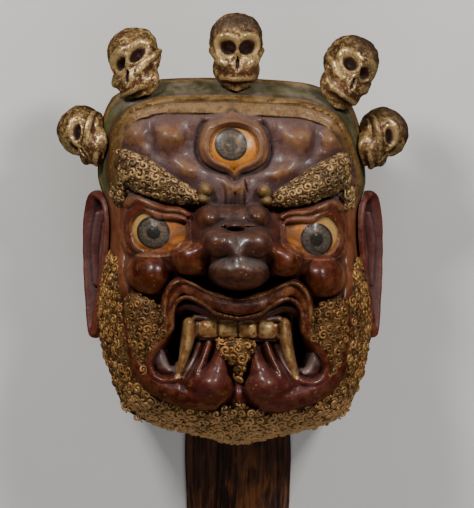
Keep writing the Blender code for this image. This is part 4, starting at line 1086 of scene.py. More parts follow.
def build_skull(name, at, size, askew, lean, turn, nod, sight):
    """Wrap the sheet about the middle, then turn the skull about three axes and put it in place."""
    socket = socket_of(sight)
    skull = carve_skull(SKULL_PITCH, askew, socket)
    circle = np.linspace(0, 2 * np.pi, 160, endpoint=False)
    count = 121
    u, v = patch(SKULL_SHEET * np.stack([np.cos(circle), np.sin(circle)], 1), count, count)
    angle = np.hypot(u, v) / SKULL_WRAP
    share = np.sin(angle) / np.maximum(angle * SKULL_WRAP, 1e-9)
    direction = np.stack([u * share, v * share, np.cos(angle)], -1)
    reach = smooth_max(ray_reach(direction, *CRANIUM), ray_reach(direction, *JAW), 3)
    points = direction * (size * (reach + skull.at(u, v)) - 0.4)[..., None]
    index = np.arange(u.size).reshape(u.shape)
    faces = [tuple(f) for f in grid_faces(index)] + [tuple(border(index)[::-1])]
    item = make_object(name, points.reshape(-1, 3), faces)
    across, rise = np.abs(u + askew * v).ravel(), (v + askew * u).ravel()
    keep(item, socket=1.2 - np.minimum(hole(across, rise, *socket), hole(across, rise, *NOSE_SLIT)),
         hollow=skull.at(u, v, averaged(skull.h, int(2.5 / SKULL_PITCH), 2) - skull.h),
         brow=rise, mouth=26 - np.hypot(across, 1.9 * (rise + 27)))
    return put(item, at, Z=lean, Y=turn, X=nod)


def seat_cutter():
    """The uncarved outside of the mask, a little larger, to cut what is set on it."""
    outline = leaning(4)
    x, y = patch(outline, 50, 64, edge_width=EDGE_GRID)
    raised = 10.5 - 3.5 * ease((y - 55) / 8)
    top = vault(x, y, np.maximum(inward(outline, x, y), 0)) + raised
    grow = 1 + SEAT_GAP / FACE_HALF_WIDTH
    return spread(carved_body("seat", x * grow, y * grow, top, [(1.0, SIDE_HEIGHT), (1 - TUCK, 0.0)]))


def seated(item):
    """Spread a piece with the mask, cut its seat, and bring it to its place in the frame."""
    return settle(cut(spread(item), seat_cutter()), sharp=70)


skulls = {name: seated(build_skull(name + "_gilt", *where)) for name, where in SKULLS.items()}
for name, item in skulls.items():
    low, high = get_points(item).min(0), get_points(item).max(0)
    print(name, "spans", np.round(low, 1), np.round(high, 1), "and has", len(item.data.polygons), "faces")

# %% [markdown]
# ## The ears
#
# Each ear is a long leaf with a raised rim and a fold inside, set against the side of the face and
# turned away from it. It is the same kind of field as the face, with a back that bulges a little.


# %% The ears
EAR_OUTLINE = [(0, 72), (10, 73), (18, 66), (22, 50), (22, 25), (18, -5), (11, -40), (4, -68),
               (-2, -74), (-8, -66), (-14, -40), (-19, -5), (-22, 25), (-21, 50), (-12, 66)]


def build_ear(name, side):
    """Leaf: a quarter-round rim less an eased hollow, rolls for the folds, and an egg-shaped back."""
    outline = curve(EAR_OUTLINE, closed=True)
    ear = Relief(26, 78, 0.5)
    depth = inward(outline, ear.u, ear.v)
    ear.h = 7 * rounded(np.clip(1 - depth / 5, 0, 1)) - 11 * ease((depth - 4) / 9)
    ear.once().roll([(2, 50), (6, 20), (2, -20)], [4, 5, 3], [4, 5, 2], -6)
    ear.once().roll([(-8, 40), (-6, 10), (-4, -24)], [2, 3, 2], [1, 2.5, 0], -6)
    ear.h += 0.2 * grain(ear.h.shape, 7, 51)
    x, y = patch(outline, 45, 130)
    back = -3 - 9 * np.sqrt(np.maximum(0, 1 - (x / 24) ** 2) * np.maximum(0, 1 - (y / 76) ** 2))
    item = carved_body(name, x, y, ear.at(x, y), [(1.0, -3.0)], back)
    px, py, pz = get_points(item).T
    around = averaged(ear.h, 8, 2) - ear.h
    keep(item, hollow=np.where(pz > ear.at(px, py) - 1, ear.at(px, py, around), 0),
         rim=inward(outline, px, py))
    if side < 0:
        item.data.transform(Matrix.Scale(-1, 4, (1, 0, 0)))
        item.data.flip_normals()
    return put(item, (side * FACE_HALF_WIDTH, -4, 96), Z=side * 3, Y=side * 58)


ears = {name: seated(build_ear(name + "_leaf", side)) for name, side in (("ear_left", -1), ("ear_right", 1))}
print("ears:", [len(item.data.polygons) for item in ears.values()], "faces")

# %% [markdown]
# ## The fringe of hair
#
# Long dyed hair comes out under the chin and lies flat on the table. Real hair is far too fine
# to model one by one, so it is gathered into locks, as unwashed hair gathers itself. Each lock is
# a tube along a swaying path, with a cross-section of two lobes that twists on its way down and
# thins out to a point. A dark core under them closes the gaps.


# %% The fringe of hair
FRINGE_LENGTH = FRINGE_TOP - FRINGE_END


def fringe_form(t):
    """Half width and thickness of the bundle at each share of its length: a sine and two eases."""
    half = FRINGE_WIDTH / 2 * (1 + 0.04 * np.sin(5 * t) - 0.10 * ease((t - 0.75) / 0.25))
    return half, FRINGE_THICKNESS * (1 - 0.35 * ease((t - 0.3) / 0.7))


def build_locks(count, steps, sides):
    """Locks side by side and on top of each other, inside the bundle's outline."""
    t = np.linspace(0, 1, steps)[None, :]
    spot = np.clip((np.arange(count)[:, None] + rng.uniform(-0.4, 0.4, (count, 1))) / count * 2 - 1, -1, 1)
    spot = rng.permutation(spot)
    layer = rng.uniform(0, 1, (count, 1)) ** 0.6
    half, thick = fringe_form(t)
    start, finish = FRINGE_TOP - 1, FRINGE_END + 3 + 22 * rng.uniform(0, 1, (count, 1)) ** 1.5
    y = start + (finish - start) * t
    sway = sum(rng.uniform(0.3, 1.3, (count, 1)) * np.sin(k * 3.1 * t + rng.uniform(0, 6.3, (count, 1)))
               for k in (1, 2, 3.3))
    width = rng.uniform(1.5, 3.1, (count, 1))
    x = FRINGE_MIDDLE + spot * (half - width - 3.5) + 1.5 * np.sin(7 * t) + sway
    dome = np.sqrt(np.maximum(0, 1 - (spot * 0.94) ** 2))
    z = width + (thick * (0.30 + 0.68 * dome) - 2 * width - 0.6) * (0.25 + 0.75 * layer)
    z += 0.5 * np.sin(4.3 * t + 9 * layer)
    taper = width * (0.85 + 0.15 * np.sin(9 * t + 20 * spot)) * (1 - 0.94 * ease((t - 0.72) / 0.28))
    a = np.linspace(0, 2 * np.pi, sides, endpoint=False)[None, None, :]
    twist = rng.uniform(-9, 9, (count, 1, 1)) * t[..., None] + rng.uniform(0, 6.3, (count, 1, 1))
    lobes = taper[..., None] * (1 + 0.22 * np.cos(2 * (a + twist)) + 0.08 * np.cos(5 * (a - twist)))
    px = x[..., None] + lobes * np.cos(a)
    pz = np.clip(z[..., None] + lobes * np.sin(a), 0.15, None)
    py = np.broadcast_to(y[..., None], px.shape)
    index = np.arange(px.size).reshape(px.shape)
    item = make_object("hair_locks", np.stack([px, py, pz], -1).reshape(-1, 3),
                       [face for lock in index for face in tube_faces(lock)])
    keep(item, lock=np.broadcast_to(rng.uniform(0, 1, (count, 1, 1)), px.shape),
         along=np.broadcast_to(t[..., None], px.shape))
    return item


def build_core():
    """Flat tube with squarish rounded sections, a little smaller than the bundle itself."""
    t = np.linspace(0, 0.9, 30)[:, None]
    a = np.linspace(0, 2 * np.pi, 40, endpoint=False)[None, :]
    half, thick = fringe_form(t)
    c, s = np.cos(a), np.sin(a)
    x = FRINGE_MIDDLE + (half - 6) * np.sign(c) * np.abs(c) ** 0.7 + 1.5 * np.sin(7 * t)
    z = 0.3 + thick * 0.62 * (0.5 + 0.5 * np.sign(s) * np.abs(s) ** 0.6)
    y = FRINGE_TOP - FRINGE_LENGTH * t - 1 + 5 * np.sin(a * 5 + 1) * ease((t - 0.7) / 0.2)
    item = make_object("hair_core", np.stack([x, y + 0 * x, z], -1).reshape(-1, 3),
                       tube_faces(np.arange(x.size).reshape(x.shape)))
    keep(item, lock=np.full(x.size, 0.1), along=np.full(x.size, 0.1))
    return item


hair = [build_locks(150, 46, 8), build_core()]
for item in hair:
    settle(spread(item))
    print(item.name, "spans", np.round(get_points(item).min(0), 1), np.round(get_points(item).max(0), 1))
# %% [markdown]
# ## Mixing a finish
#
# Old paint is never one colour. Each finish below is built up as a painter would: a ground, then
# layers where the stored distances say, then dirt and painted shade in the recesses, rubbed
# crests, dust, painted highlights, cracks and chips. Node graphs are hard to read as code, so one
# small class lets a socket be used in plain sums, and another adds any node and returns its result.


# %% Mixing a finish
class Value:
    """A socket in a material; sums and products with it add Math nodes."""

    def __init__(self, finish, socket):
        self.finish, self.socket = finish, socket

    def math(self, operation, *values):
        return self.finish.node("Math", {"operation": operation}, dict(enumerate(values)))

    def __add__(self, other):
        return self.math("ADD", self, other)

    def __sub__(self, other):
        return self.math("SUBTRACT", self, other)

    def __rsub__(self, other):
        return self.math("SUBTRACT", other, self)

    def __mul__(self, other):
        return self.math("MULTIPLY", self, other)

    def __truediv__(self, other):
        return self.math("DIVIDE", self, other)

    def __neg__(self):
        return self * -1

    def __abs__(self):
        return self.math("ABSOLUTE", self)

    def power(self, other):
        return self.math("POWER", self, other)

    def at_most(self, other):
        return self.math("MINIMUM", self, other)

    def at_least(self, other):
        return self.math("MAXIMUM", self, other)

    __radd__ = __add__
    __rmul__ = __mul__


class Finish:
    """A material while it is being mixed; numbers that are the same all over go in as settings."""

    def __init__(self, name, **settings):
        self.material = bpy.data.materials.new(name)
        self.material.use_nodes = True
        self.tree = self.material.node_tree
        self.shader = self.tree.nodes["Principled BSDF"]
        for socket, value in settings.items():
            self.shader.inputs[socket.replace("_", " ")].default_value = value
        self.place = self.node("TexCoord", {}, {}, output=3)

    def node(self, kind, settings, values, output=0):
        """Add a node: its settings first, then the values or links of its sockets."""
        item = self.tree.nodes.new("ShaderNode" + kind)
        for name, value in settings.items():
            setattr(item, name, value)
        for key, value in values.items():
            self.feed(item.inputs[key], value)
        return Value(self, item.outputs[output])

    def feed(self, socket, value):
        """Link a value to a socket, or set a plain number or colour on it."""
        if isinstance(value, Value):
            self.tree.links.new(value.socket, socket)
        else:
            socket.default_value = (*value, 1) if np.ndim(value) and socket.type == "RGBA" else value

    def read(self, *names):
        """Numbers stored on the mesh's points."""
        return [self.node("Attribute", {"attribute_name": name}, {}, output=2) for name in names]

    def part(self, vector, axis):
        """One of a vector's three numbers."""
        return self.node("SeparateXYZ", {}, {0: vector}, output=axis)

    def step(self, value, low, high):
        """0 below one value, 1 above another, smooth between them."""
        return self.node("MapRange", {"interpolation_type": "SMOOTHSTEP"},
                         {"Value": value, "From Min": low, "From Max": high})

    def mix(self, share, a, b):
        """Colour a, going over to colour b as the share goes from 0 to 1."""
        return self.node("Mix", {"data_type": "RGBA"}, {0: share, 6: a, 7: b}, output=2)

    def layers(self, colour, *layers):
        """Colours laid over each other in turn: pairs of a share and the colour that goes on."""
        for share, over in layers:
            colour = self.mix(share, colour, over)
        return colour

    def stretched(self, *squeeze):
        """The place on the object, squeezed along some axes so that a pattern is stretched there."""
        return self.node("Mapping", {}, {"Vector": self.place, "Scale": squeeze})

    def noise(self, size, detail=3.0, rough=0.55, vector=None, warp=0.0):
        """Cloudy pattern between 0 and 1, with clouds of a size in millimetres."""
        return self.node("TexNoise", {}, {"Vector": vector or self.place, "Scale": 1000.0 / size,
                                          "Detail": detail, "Roughness": rough, "Distortion": warp})

    def cracks(self, size, warp=0.6):
        """Distance to the nearest border between random cells, as in dried paint."""
        bend = self.node("TexNoise", {}, {"Vector": self.place, "Scale": 1600.0 / size, "Detail": 2.0},
                         output=1)
        shift = self.node("VectorMath", {"operation": "SCALE"}, {0: bend, "Scale": warp * size * MM})
        moved = self.node("VectorMath", {"operation": "ADD"}, {0: self.place, 1: shift})
        return self.node("TexVoronoi", {"feature": "DISTANCE_TO_EDGE"},
                         {"Vector": moved, "Scale": 1000.0 / size})

    def bump(self, *layers):
        """Bumps on top of each other: pairs of a height and its depth in millimetres."""
        normal = None
        for height, depth in layers:
            values = {"Height": height, "Distance": depth * MM, "Strength": 1.0}
            if normal:
                values["Normal"] = normal
            normal = self.node("Bump", {}, values)
        return normal

    def finish(self, **channels):
        """Feed what varies over the surface, and return the material."""
        for socket, value in channels.items():
            self.feed(self.shader.inputs[socket.replace("_", " ")], value)
        return self.material


# %% [markdown]
# ## Lacquer, gold and paint on the face
#
# The face is a dark oxblood lacquer over a red-brown ground. The forehead has gone dull and
# mauve, its knuckles and the temples are rubbed down to an orange brown, and grey dust sits on
# what faces up when the mask hangs; on the nose it is also a painted sheen. Recesses are darkened
# with dirt and painted shade, and the lip under the nose with painted shade. Eyes are ochre with
# slate irises and a painted highlight on the side of the lights, teeth are gilded, the band
# is gold around a green cove, and the inside is bare gouged wood. Each of these has a function
# of its own, and they all share the same few patterns.


# %% Lacquer, gold and paint on the face
BROW_KNOT, KNOT_SQUEEZE = (30.77, 65.06), (1.3, 0.85)       # the gilded ball at a brow's inner end


class FacePaint(Finish):
    """The face's finish, with the stored distances and the patterns that all its layers share."""

    def __init__(self):
        super().__init__("old_lacquer", Coat_Roughness=0.17, Specular_IOR_Level=0.36)
        self.rise, self.across, self.inset, self.under = self.read("rise", "across", "inset", "under")
        self.hollow, self.broad, self.curled, self.trim = self.read("hollow", "broad", "curled", "trim")
        self.opening, self.lids, self.iris = self.read("opening", "lids", "iris")
        self.tooth, self.mouth, self.lip = self.read("tooth", "mouth", "lip")
        self.clouds, self.patches = self.noise(38, 4), self.noise(17, 5, 0.6, warp=0.4)
        self.spots, self.blots = self.noise(9, 5, 0.62), self.noise(6, 4, 0.7)
        self.fine = self.noise(2.2, 4, 0.6)
        self.side = abs(self.across)
        normal = self.node("NewGeometry", {}, {}, output=1)
        self.up = self.part(normal, 1)
        self.wall = 1 - self.step(self.part(normal, 2), 0.02, 0.24)
        self.above = self.step(self.rise, 50, 62)


def lacquer(f):
    """Oxblood, browner below the forms, warm on the cheeks and cold on the chin's lobes."""
    step = f.step
    cheek = step(f.side, 50, 66) * step(f.rise, -42, -30) * (1 - step(f.rise, 0, 12))
    lobe = (1 - step(f.rise, -108, -94)) * step(f.clouds, 0.40, 0.60)
    return f.layers(
        f.mix(step(f.clouds, 0.35, 0.65), (0.053, 0.0055, 0.0022), (0.108, 0.0160, 0.0050)),
        (step(f.spots, 0.52, 0.70) * 0.5, (0.18, 0.036, 0.006)),
        (step(0.05 - f.up, 0, 0.55) * step(f.patches, 0.35, 0.6) * 0.55, (0.13, 0.040, 0.010)),
        (cheek * step(0.3 - f.up, 0, 0.8) * 0.8, (0.076, 0.0155, 0.0034)),
        (lobe * 0.7, (0.082, 0.0165, 0.0180)))


def forehead(f):
    """Dull mauve, orange where it stands out, and gold on the little ball at each brow's inner end."""
    step = f.step
    (knot_x, knot_y), (squeeze_x, squeeze_y) = BROW_KNOT, KNOT_SQUEEZE
    place = f.node("CombineXYZ", {}, {0: f.side * squeeze_x, 1: f.rise * squeeze_y})
    away = f.node("VectorMath", {"operation": "DISTANCE"},
                  {0: place, 1: (knot_x * squeeze_x, knot_y * squeeze_y, 0.0)}, output=1)
    rubbed = 0.4 + 0.6 * step(f.spots, 0.4, 0.6)
    return f.layers(
        f.mix(step(f.patches, 0.40, 0.60), (0.130, 0.066, 0.056), (0.092, 0.034, 0.022)),
        (step(-f.broad, 0.3, 2.4) * rubbed, (0.210, 0.092, 0.026)),
        (step(f.broad, 0.2, 2.2) * 0.75, (0.085, 0.048, 0.050)),
        (step(f.spots, 0.5, 0.66) * 0.4, (0.24, 0.13, 0.085)),
        ((1 - step(away, 7.5, 9.0)) * rubbed, (0.23, 0.150, 0.045)))


def worn_places(f, colour):
    """Rubbed temples, dust and a painted sheen on the nose's upper side, the paler or darker edges of lids
    and lips, and painted shade on the upper lip under the nose.
    """
    step, above = f.step, f.above
    temple = step(f.side, 101, 108) * (1 - step(f.rise, 55, 70)) * step(f.rise, -42, -18) * (1 - 0.8 * f.wall)
    nose = (1 - step(f.side, 26, 42)) * step(f.rise, -36, -22) * (1 - above)
    # dust_and_sheen: grey dust on the upper side of the nose, which is also a painted sheen where the lights
    # fall
    dust_and_sheen = nose * step(f.up + 0.6 * f.patches, 0.20, 0.66) * (1 - 0.75 * step(f.rise, 6, 18))
    crest = step(-f.hollow, 0.10, 0.75) + step(-f.broad, 1.5, 5) * 0.5
    lid, third = step(f.lids, -0.3, 0.4), step(f.rise, 70, 80)
    lip, blotched = step(f.lip, 0.0, 1.0), step(f.patches, 0.42, 0.6)
    worn = step(-f.trim, -1.2, -0.4) * step(f.fine + 0.5 * f.patches, 0.66, 0.86)
    return f.layers(
        colour,
        (temple * (0.45 + 0.5 * step(f.patches, 0.4, 0.6)), (0.255, 0.086, 0.034)),
        (nose * 0.75, (0.046, 0.020, 0.0155)),
        (dust_and_sheen * 0.8, (0.108, 0.086, 0.072)),
        (nose * step(f.blots, 0.52, 0.60) * step(f.spots, 0.42, 0.56) * 0.8, (0.014, 0.009, 0.008)),
        ((crest * step(f.spots, 0.42, 0.62)).at_most(1) * 0.32 * (1 - above), (0.20, 0.072, 0.028)),
        (lid * (1 - third) * 0.8, f.mix(blotched, (0.120, 0.022, 0.010), (0.215, 0.085, 0.040))),
        (lid * third * 0.6, f.mix(blotched, (0.165, 0.080, 0.052), (0.230, 0.100, 0.036))),
        (lip * (1 - step(f.rise, -20, -14)) * 0.8,
         f.mix(step(f.spots, 0.42, 0.62), (0.078, 0.016, 0.006), (0.205, 0.068, 0.023))),
        # painted shade: the middle of the upper lip under the nose is darkened, as in the nose's shadow
        ((1 - step(f.side, 8, 46)) * lip * (1 - step(f.rise, -30, -24)) * 0.6, (0.030, 0.0045, 0.0012)),
        (worn * 0.6, (0.30, 0.165, 0.075)))


def mouth_and_teeth(f, colour):
    """Dark flesh with a painted highlight where it faces up, and gilding on the teeth, which is worn in
    blots, darkened in its hollows with dirt and painted shade, and redder on the fangs.
    """
    step = f.step
    # the mouth's flesh, lighter where it faces up as a painted highlight
    flesh = f.mix(step(f.up + f.spots, 0.2, 0.9), (0.070, 0.020, 0.014), (0.210, 0.140, 0.130))
    gilded = f.layers(
        f.mix(step(f.spots, 0.40, 0.60), (0.45, 0.215, 0.070), (0.72, 0.48, 0.205)),
        (step(f.blots, 0.50, 0.62) * 0.65, (0.16, 0.062, 0.018)),
        # dirt and painted shade in the hollows between the teeth
        (step(f.hollow, 0.2, 1.0) * 0.7, (0.080, 0.032, 0.012)),
        (step(f.side, 30, 38) * 0.4, (0.26, 0.10, 0.030)))
    return f.layers(colour, (step(f.mouth, 0.5, 3.5), flesh), (step(f.tooth, -0.5, 0.4), gilded))


def eyes(f, colour):
    """Ochre balls with a painted highlight that goes cream on the side towards the lights, and slate irises
    with a worn ring.
    """
    step, above = f.step, f.above
    # painted highlight: the side of each eyeball towards the lights goes cream
    cream = step(f.side + 0.7 * f.rise, 98, 124) * (1 - above) + step(f.rise, 104, 126) * above * 0.6
    ochre = f.layers(
        f.mix(step(f.clouds + f.fine * 0.4, 0.5, 0.9), (0.44, 0.112, 0.012), (0.51, 0.185, 0.030)),
        (cream * 0.8, (0.60, 0.39, 0.135)),
        (above * (0.8 - 0.6 * step(f.rise, 108, 126)), (0.71, 0.265, 0.042)),
        (step(60 - f.side - 60 * above, -12, 8) * 0.7, (0.27, 0.098, 0.020)),
        (1 - step(f.opening, 0.2, 1.8), (0.22, 0.085, 0.026)),
        (step(f.blots + 0.3 * f.fine, 0.62, 0.86) * 0.25, (0.26, 0.105, 0.028)))
    ring = step(f.iris, 6.8, 8.0) * (1 - step(f.iris, 9.0, 10.6))
    slate = f.layers(
        f.mix(step(f.fine + 0.4 * f.spots, 0.5, 0.9), (0.052, 0.042, 0.034), (0.125, 0.098, 0.074)),
        (ring * step(f.patches, 0.42, 0.58) * 0.7, (0.21, 0.12, 0.062)),
        ((1 - step(f.iris, 5.8, 7.0)) * (1 - 0.6 * above), (0.026, 0.022, 0.020)),
        (step(f.iris, 12.8, 14.2), (0.035, 0.027, 0.020)),
        (step(f.blots, 0.53, 0.62) * above * (1 - step(f.iris, 6, 11)) * 0.8, (0.30, 0.16, 0.04)))
    return f.mix(step(f.opening, -0.1, 0.5), colour, f.mix(step(f.iris, 15.2, 16.0), slate, ochre))


def band_ring(f):
    """Where the band is, and the depth that its bead, cove and strip go by, squeezed at the sides."""
    step = f.step
    right = step(f.across, -1, 1)
    left_share = (1 - right) * (1 - step(f.rise, SQUEEZE_FROM - LEFT_DROP, SQUEEZE_FROM)) * LEFT_SQUEEZE
    right_share = right * (1 - step(f.rise, SQUEEZE_FROM - RIGHT_DROP, SQUEEZE_FROM)) * RIGHT_SQUEEZE
    ring = f.inset / (1 - (left_share + right_share))
    end = STRIP_END - PEAK_RISE * (1 - f.side * (1 / PEAK_HALF)).at_least(0).power(1.5)
    return step(f.rise, 64, 68) * (1 - step(ring - end, -0.7, 0.5)), ring


def crown_band(f, colour, band, ring):
    """Gold beads, a green cove and a rubbed gilded strip, with dull green down the side wall, and dirt and
    painted shade in the hollows.
    """
    step, fine, spots, blots = f.step, f.fine, f.spots, f.blots
    gold = f.layers(
        f.mix(step(f.patches, 0.36, 0.6), (0.135, 0.057, 0.010), (0.27, 0.150, 0.026)),
        (step(blots, 0.5, 0.66) * 0.5, (0.40, 0.25, 0.085)))
    green = f.layers(
        f.mix(step(f.patches, 0.38, 0.64), (0.064, 0.059, 0.019), (0.126, 0.109, 0.047)),
        (step(blots + 0.4 * fine, 0.72, 0.90) * 0.6, (0.20, 0.155, 0.095)),
        ((1 - step(f.across, -122, -104)) * 0.6, (0.105, 0.118, 0.036)))
    strip = f.layers(
        f.mix(step(f.clouds + spots * 0.3, 0.5, 0.8), (0.16, 0.080, 0.022), (0.28, 0.160, 0.058)),
        (step(blots, 0.48, 0.62) * 0.6, (0.10, 0.042, 0.013)),
        (step(spots, 0.52, 0.62) * 0.4, (0.36, 0.23, 0.11)))
    stain = step(-f.across, -1, 1) * step(f.side, 104, 122) * step(ring, 11.2, 12.4) * 0.85
    low_edge = ring - 1.8 * stain
    dull_green = f.mix(step(f.clouds, 0.35, 0.65), (0.055, 0.050, 0.018), (0.092, 0.080, 0.033))
    banded = f.layers(
        f.mix(step(ring, BEAD_END - 0.4, BEAD_END + 0.6), gold, green),
        (stain, (0.115, 0.045, 0.018)),
        (step(low_edge, COVE_END - 0.5, COVE_END + 0.5), gold),
        (step(ring, RING_END, RING_END + 1), strip),
        (f.wall * 0.95, dull_green),
        # dirt and painted shade in the band's hollows
        (step(f.hollow, 0.08, 0.6) * 0.65, (0.060, 0.028, 0.012)),
        (step(fine + 0.6 * spots, 0.88, 1.00) * 0.7, (0.045, 0.020, 0.008)))
    return f.mix(band, colour, banded)


def face_finish():
    """All of the face's paint, with dirt and painted shade in the recesses, dust and chips over it, and the
    bare wood inside.
    """
    f = FacePaint()
    step, above, fine, spots = f.step, f.above, f.fine, f.spots
    band, ring = band_ring(f)
    colour = worn_places(f, f.mix(above, lacquer(f), forehead(f)))
    colour = crown_band(f, eyes(f, mouth_and_teeth(f, colour)), band, ring)
    pads, dark_mouth = step(f.curled, -0.4, 0.6), step(f.mouth, 0.5, 3.5)
    ground = f.mix(step(spots, 0.38, 0.58), (0.045, 0.019, 0.007), (0.170, 0.086, 0.026))
    dull_brown = f.mix(step(f.clouds, 0.35, 0.65), (0.042, 0.020, 0.009), (0.072, 0.034, 0.013))
    # grime_and_shade: dirt and painted shade in small and broad recesses, which also go matte
    grime_and_shade = (step(f.hollow, 0.10, 0.8) + step(f.broad, 0.8, 4.2) * 0.7).at_most(1)
    grime_and_shade = grime_and_shade * (1 - above * 0.5) * (1 - 0.6 * dark_mouth)
    dust = step(f.up, 0.0, 0.75) * step(f.patches, 0.36, 0.66) * (1 - pads) * (1 - step(f.opening, -0.5, 0.5))
    chips = step(f.noise(3.4, 2, 0.5), 0.68, 0.72) * step(-f.hollow, -0.1, 0.3) * (1 - band)
    specks = step(f.noise(1.5, 2, 0.5), 0.62, 0.70) * (1 - dark_mouth)
    wood = f.noise(9, 4, 0.6, f.stretched(1.0, 0.12, 1.0))
    bare = f.layers(f.mix(step(wood, 0.35, 0.68), (0.12, 0.062, 0.030), (0.24, 0.145, 0.080)),
                    (step(f.patches, 0.5, 0.72) * 0.5, (0.050, 0.028, 0.018)))
    inner = step(f.under + spots * 1.2, 3.2, 4.6)
    colour = f.layers(
        colour,
        (pads, f.mix(f.wall * 0.9, ground, dull_brown)),
        # dirt and painted shade darken the recesses
        (grime_and_shade * 0.5, f.mix(above, (0.014, 0.006, 0.004), (0.050, 0.034, 0.030))),
        (dust * (0.04 + 0.26 * above), (0.20, 0.155, 0.150)),
        (chips * 0.8, (0.34, 0.17, 0.06)),
        (specks * 0.45, (0.022, 0.009, 0.006)),
        (inner, bare))

    shine = 0.24 + 0.22 * fine + 0.12 * step(f.clouds, 0.4, 0.65) + 0.06 * above + 0.30 * grime_and_shade
    shine = shine + 0.10 * dust + 0.28 * inner - 0.08 * step(f.opening, 0, 1) + 0.10 * band
    coat = (1 - inner) * (1 - pads) * (1 - grime_and_shade) * (0.34 - 0.22 * above)
    gilt = step(f.tooth, -0.5, 0.4).at_least(band * step(ring, COVE_END, COVE_END + 1) * 0.8)
    normal = f.bump((f.noise(26, 2) * (1 - inner), 1.1), (spots, 0.65), (fine, 0.30),
                    (step(f.cracks(15), 0.0, 0.03), 0.06), (wood * inner, 1.2))
    return f.finish(Base_Color=colour, Roughness=shine.at_most(0.95), Coat_Weight=coat.at_least(0),
                    Metallic=gilt * 0.4 * (1 - inner), Normal=normal)


shell.data.materials.append(face_finish())
print("face finish:", len(shell.data.materials[0].node_tree.nodes), "nodes")

# %% [markdown]
# ## Gilding on the curls and the skulls
#
# The curls were gilded over a brown ground. Gold leaf stays on the crests and is rubbed through
# by dust and hands, and the flanks of each tube are painted dark as shade, so the mix follows
# the stored height around each tube; low on the beard the gold is painted paler, as painted light.
# The skulls have a thick pale gilding that has dried and split into small scales, brown where the
# crowns are bare, with dark red in the sockets, painted glints and highlights on their raised
# parts, and painted shade in their hollows and on the lowest one on the right.


# %% Gilding on the curls and the skulls
def curl_finish(name, light, dark):
    """Gold on the upper side of a curl's tube, and dark ground with painted shade on its flanks; low on the
    beard a painted light makes it paler.
    """
    f = Finish(name)
    step = f.step
    crest, shade = f.read("crest", "shade")
    spots = f.noise(5, 4, 0.6)
    chin, jaw = ((level + SHIFT[1]) * MM for level in (-166, -120))
    gold = f.layers(
        f.mix(step(shade + f.noise(24, 3), 0.55, 1.30), tuple(0.35 * c for c in light), light),
        (step(spots, 0.52, 0.64) * step(shade, 0.35, 0.65), (0.66, 0.45, 0.16)),
        (step(f.noise(11, 3), 0.54, 0.66) * 0.6, (0.10, 0.050, 0.026)),
        # painted light: the gold low on the beard is made paler and brighter, standing in for light there
        ((1 - step(f.part(f.place, 1), chin, jaw)) * 0.48, (0.95, 0.58, 0.27)))
    # painted shade: the flanks of each tube towards the skin go dark, over the brown ground
    colour = f.mix(1 - step(crest + spots * 0.6 - 0.3, 0.22, 0.66), gold, dark)
    return f.finish(Base_Color=colour, Roughness=0.28 + 0.3 * f.noise(3, 3),
                    Metallic=0.45 * step(crest, 0.4, 0.8),
                    Normal=f.bump((spots, 0.5), (f.noise(1.4, 3), 0.2)))


def skull_finish():
    """Pale gilding in scales, worn to brown on the crowns, with painted glints and a painted highlight on
    raised parts, painted shade in hollows and on the lowest right skull, and dark red in the sockets.
    """
    f = Finish("cracked_gilding", Coat_Weight=0.25, Coat_Roughness=0.14)
    step = f.step
    socket, hollow, brow, mouth = f.read("socket", "hollow", "brow", "mouth")
    spots, clouds, fine = f.noise(6, 5, 0.62), f.noise(21, 3), f.noise(1.8, 3)
    raised, across = step(-hollow, 0.05, 0.7), f.part(f.place, 0)
    lowest_right = step(across, 0.108, 0.130)
    bare = (1 - step(abs(across), 0.032, 0.045)).at_least(lowest_right)
    crown = step(brow, 14, 30) * step(f.noise(30, 2), 0.30, 0.42) * bare
    # painted_glint: small painted highlights of bright gold, kept out of hollows and bare crowns
    painted_glint = step(f.noise(2.6, 3, 0.7), 0.57, 0.64) * (1 - step(hollow, 0.1, 0.6)) * (1 - 0.8 * crown)
    scales = f.cracks(3.4, 0.9)
    split = (1 - step(scales, 0.02, 0.12)) * step(f.noise(16, 2), 0.36, 0.56)
    colour = f.layers(
        f.mix(step(clouds + 0.35 * raised, 0.42, 0.66), (0.170, 0.080, 0.028), (0.46, 0.270, 0.095)),
        (step(spots, 0.50, 0.60) * (0.75 - 0.5 * raised), (0.080, 0.033, 0.012)),
        # bright pale gold on raised parts and in random spots: gilding, with a painted highlight along the
        # ridges
        ((raised * 0.6).at_least(1 - step(spots, 0.36, 0.45)) * 0.75, (0.74, 0.52, 0.23)),
        (crown * (0.88 + 0.1 * step(spots, 0.38, 0.5)), (0.066, 0.040, 0.028)),
        (step(mouth, 0, 9) * step(hollow + 0.6 * spots, 0.1, 0.6) * 0.7, (0.15, 0.040, 0.020)),
        (painted_glint * 0.85, (0.92, 0.70, 0.33)),
        # painted shade: the lowest skull on the right is darkened, as if less light reached it
        (lowest_right * 0.35, (0.080, 0.042, 0.016)),
        (split * 0.8, (0.050, 0.021, 0.009)),
        # painted shade in the hollows
        (step(hollow, 0.15, 1.2) * 0.85, (0.060, 0.016, 0.009)),
        (step(socket, 0.0, 0.30), (0.030, 0.006, 0.0045)))
    shine = 0.18 + 0.20 * fine + 0.25 * step(hollow, 0.1, 1.0) + 0.3 * step(socket, 0, 0.3) - 0.06 * painted_glint
    gold = (0.45 - 0.40 * crown) * (1 - step(socket, -0.1, 0.2))
    normal = f.bump((spots, 0.55), (scales.at_most(0.10), 1.6), (fine, 0.16))
    return f.finish(Base_Color=colour, Roughness=shine, Metallic=gold, Normal=normal)


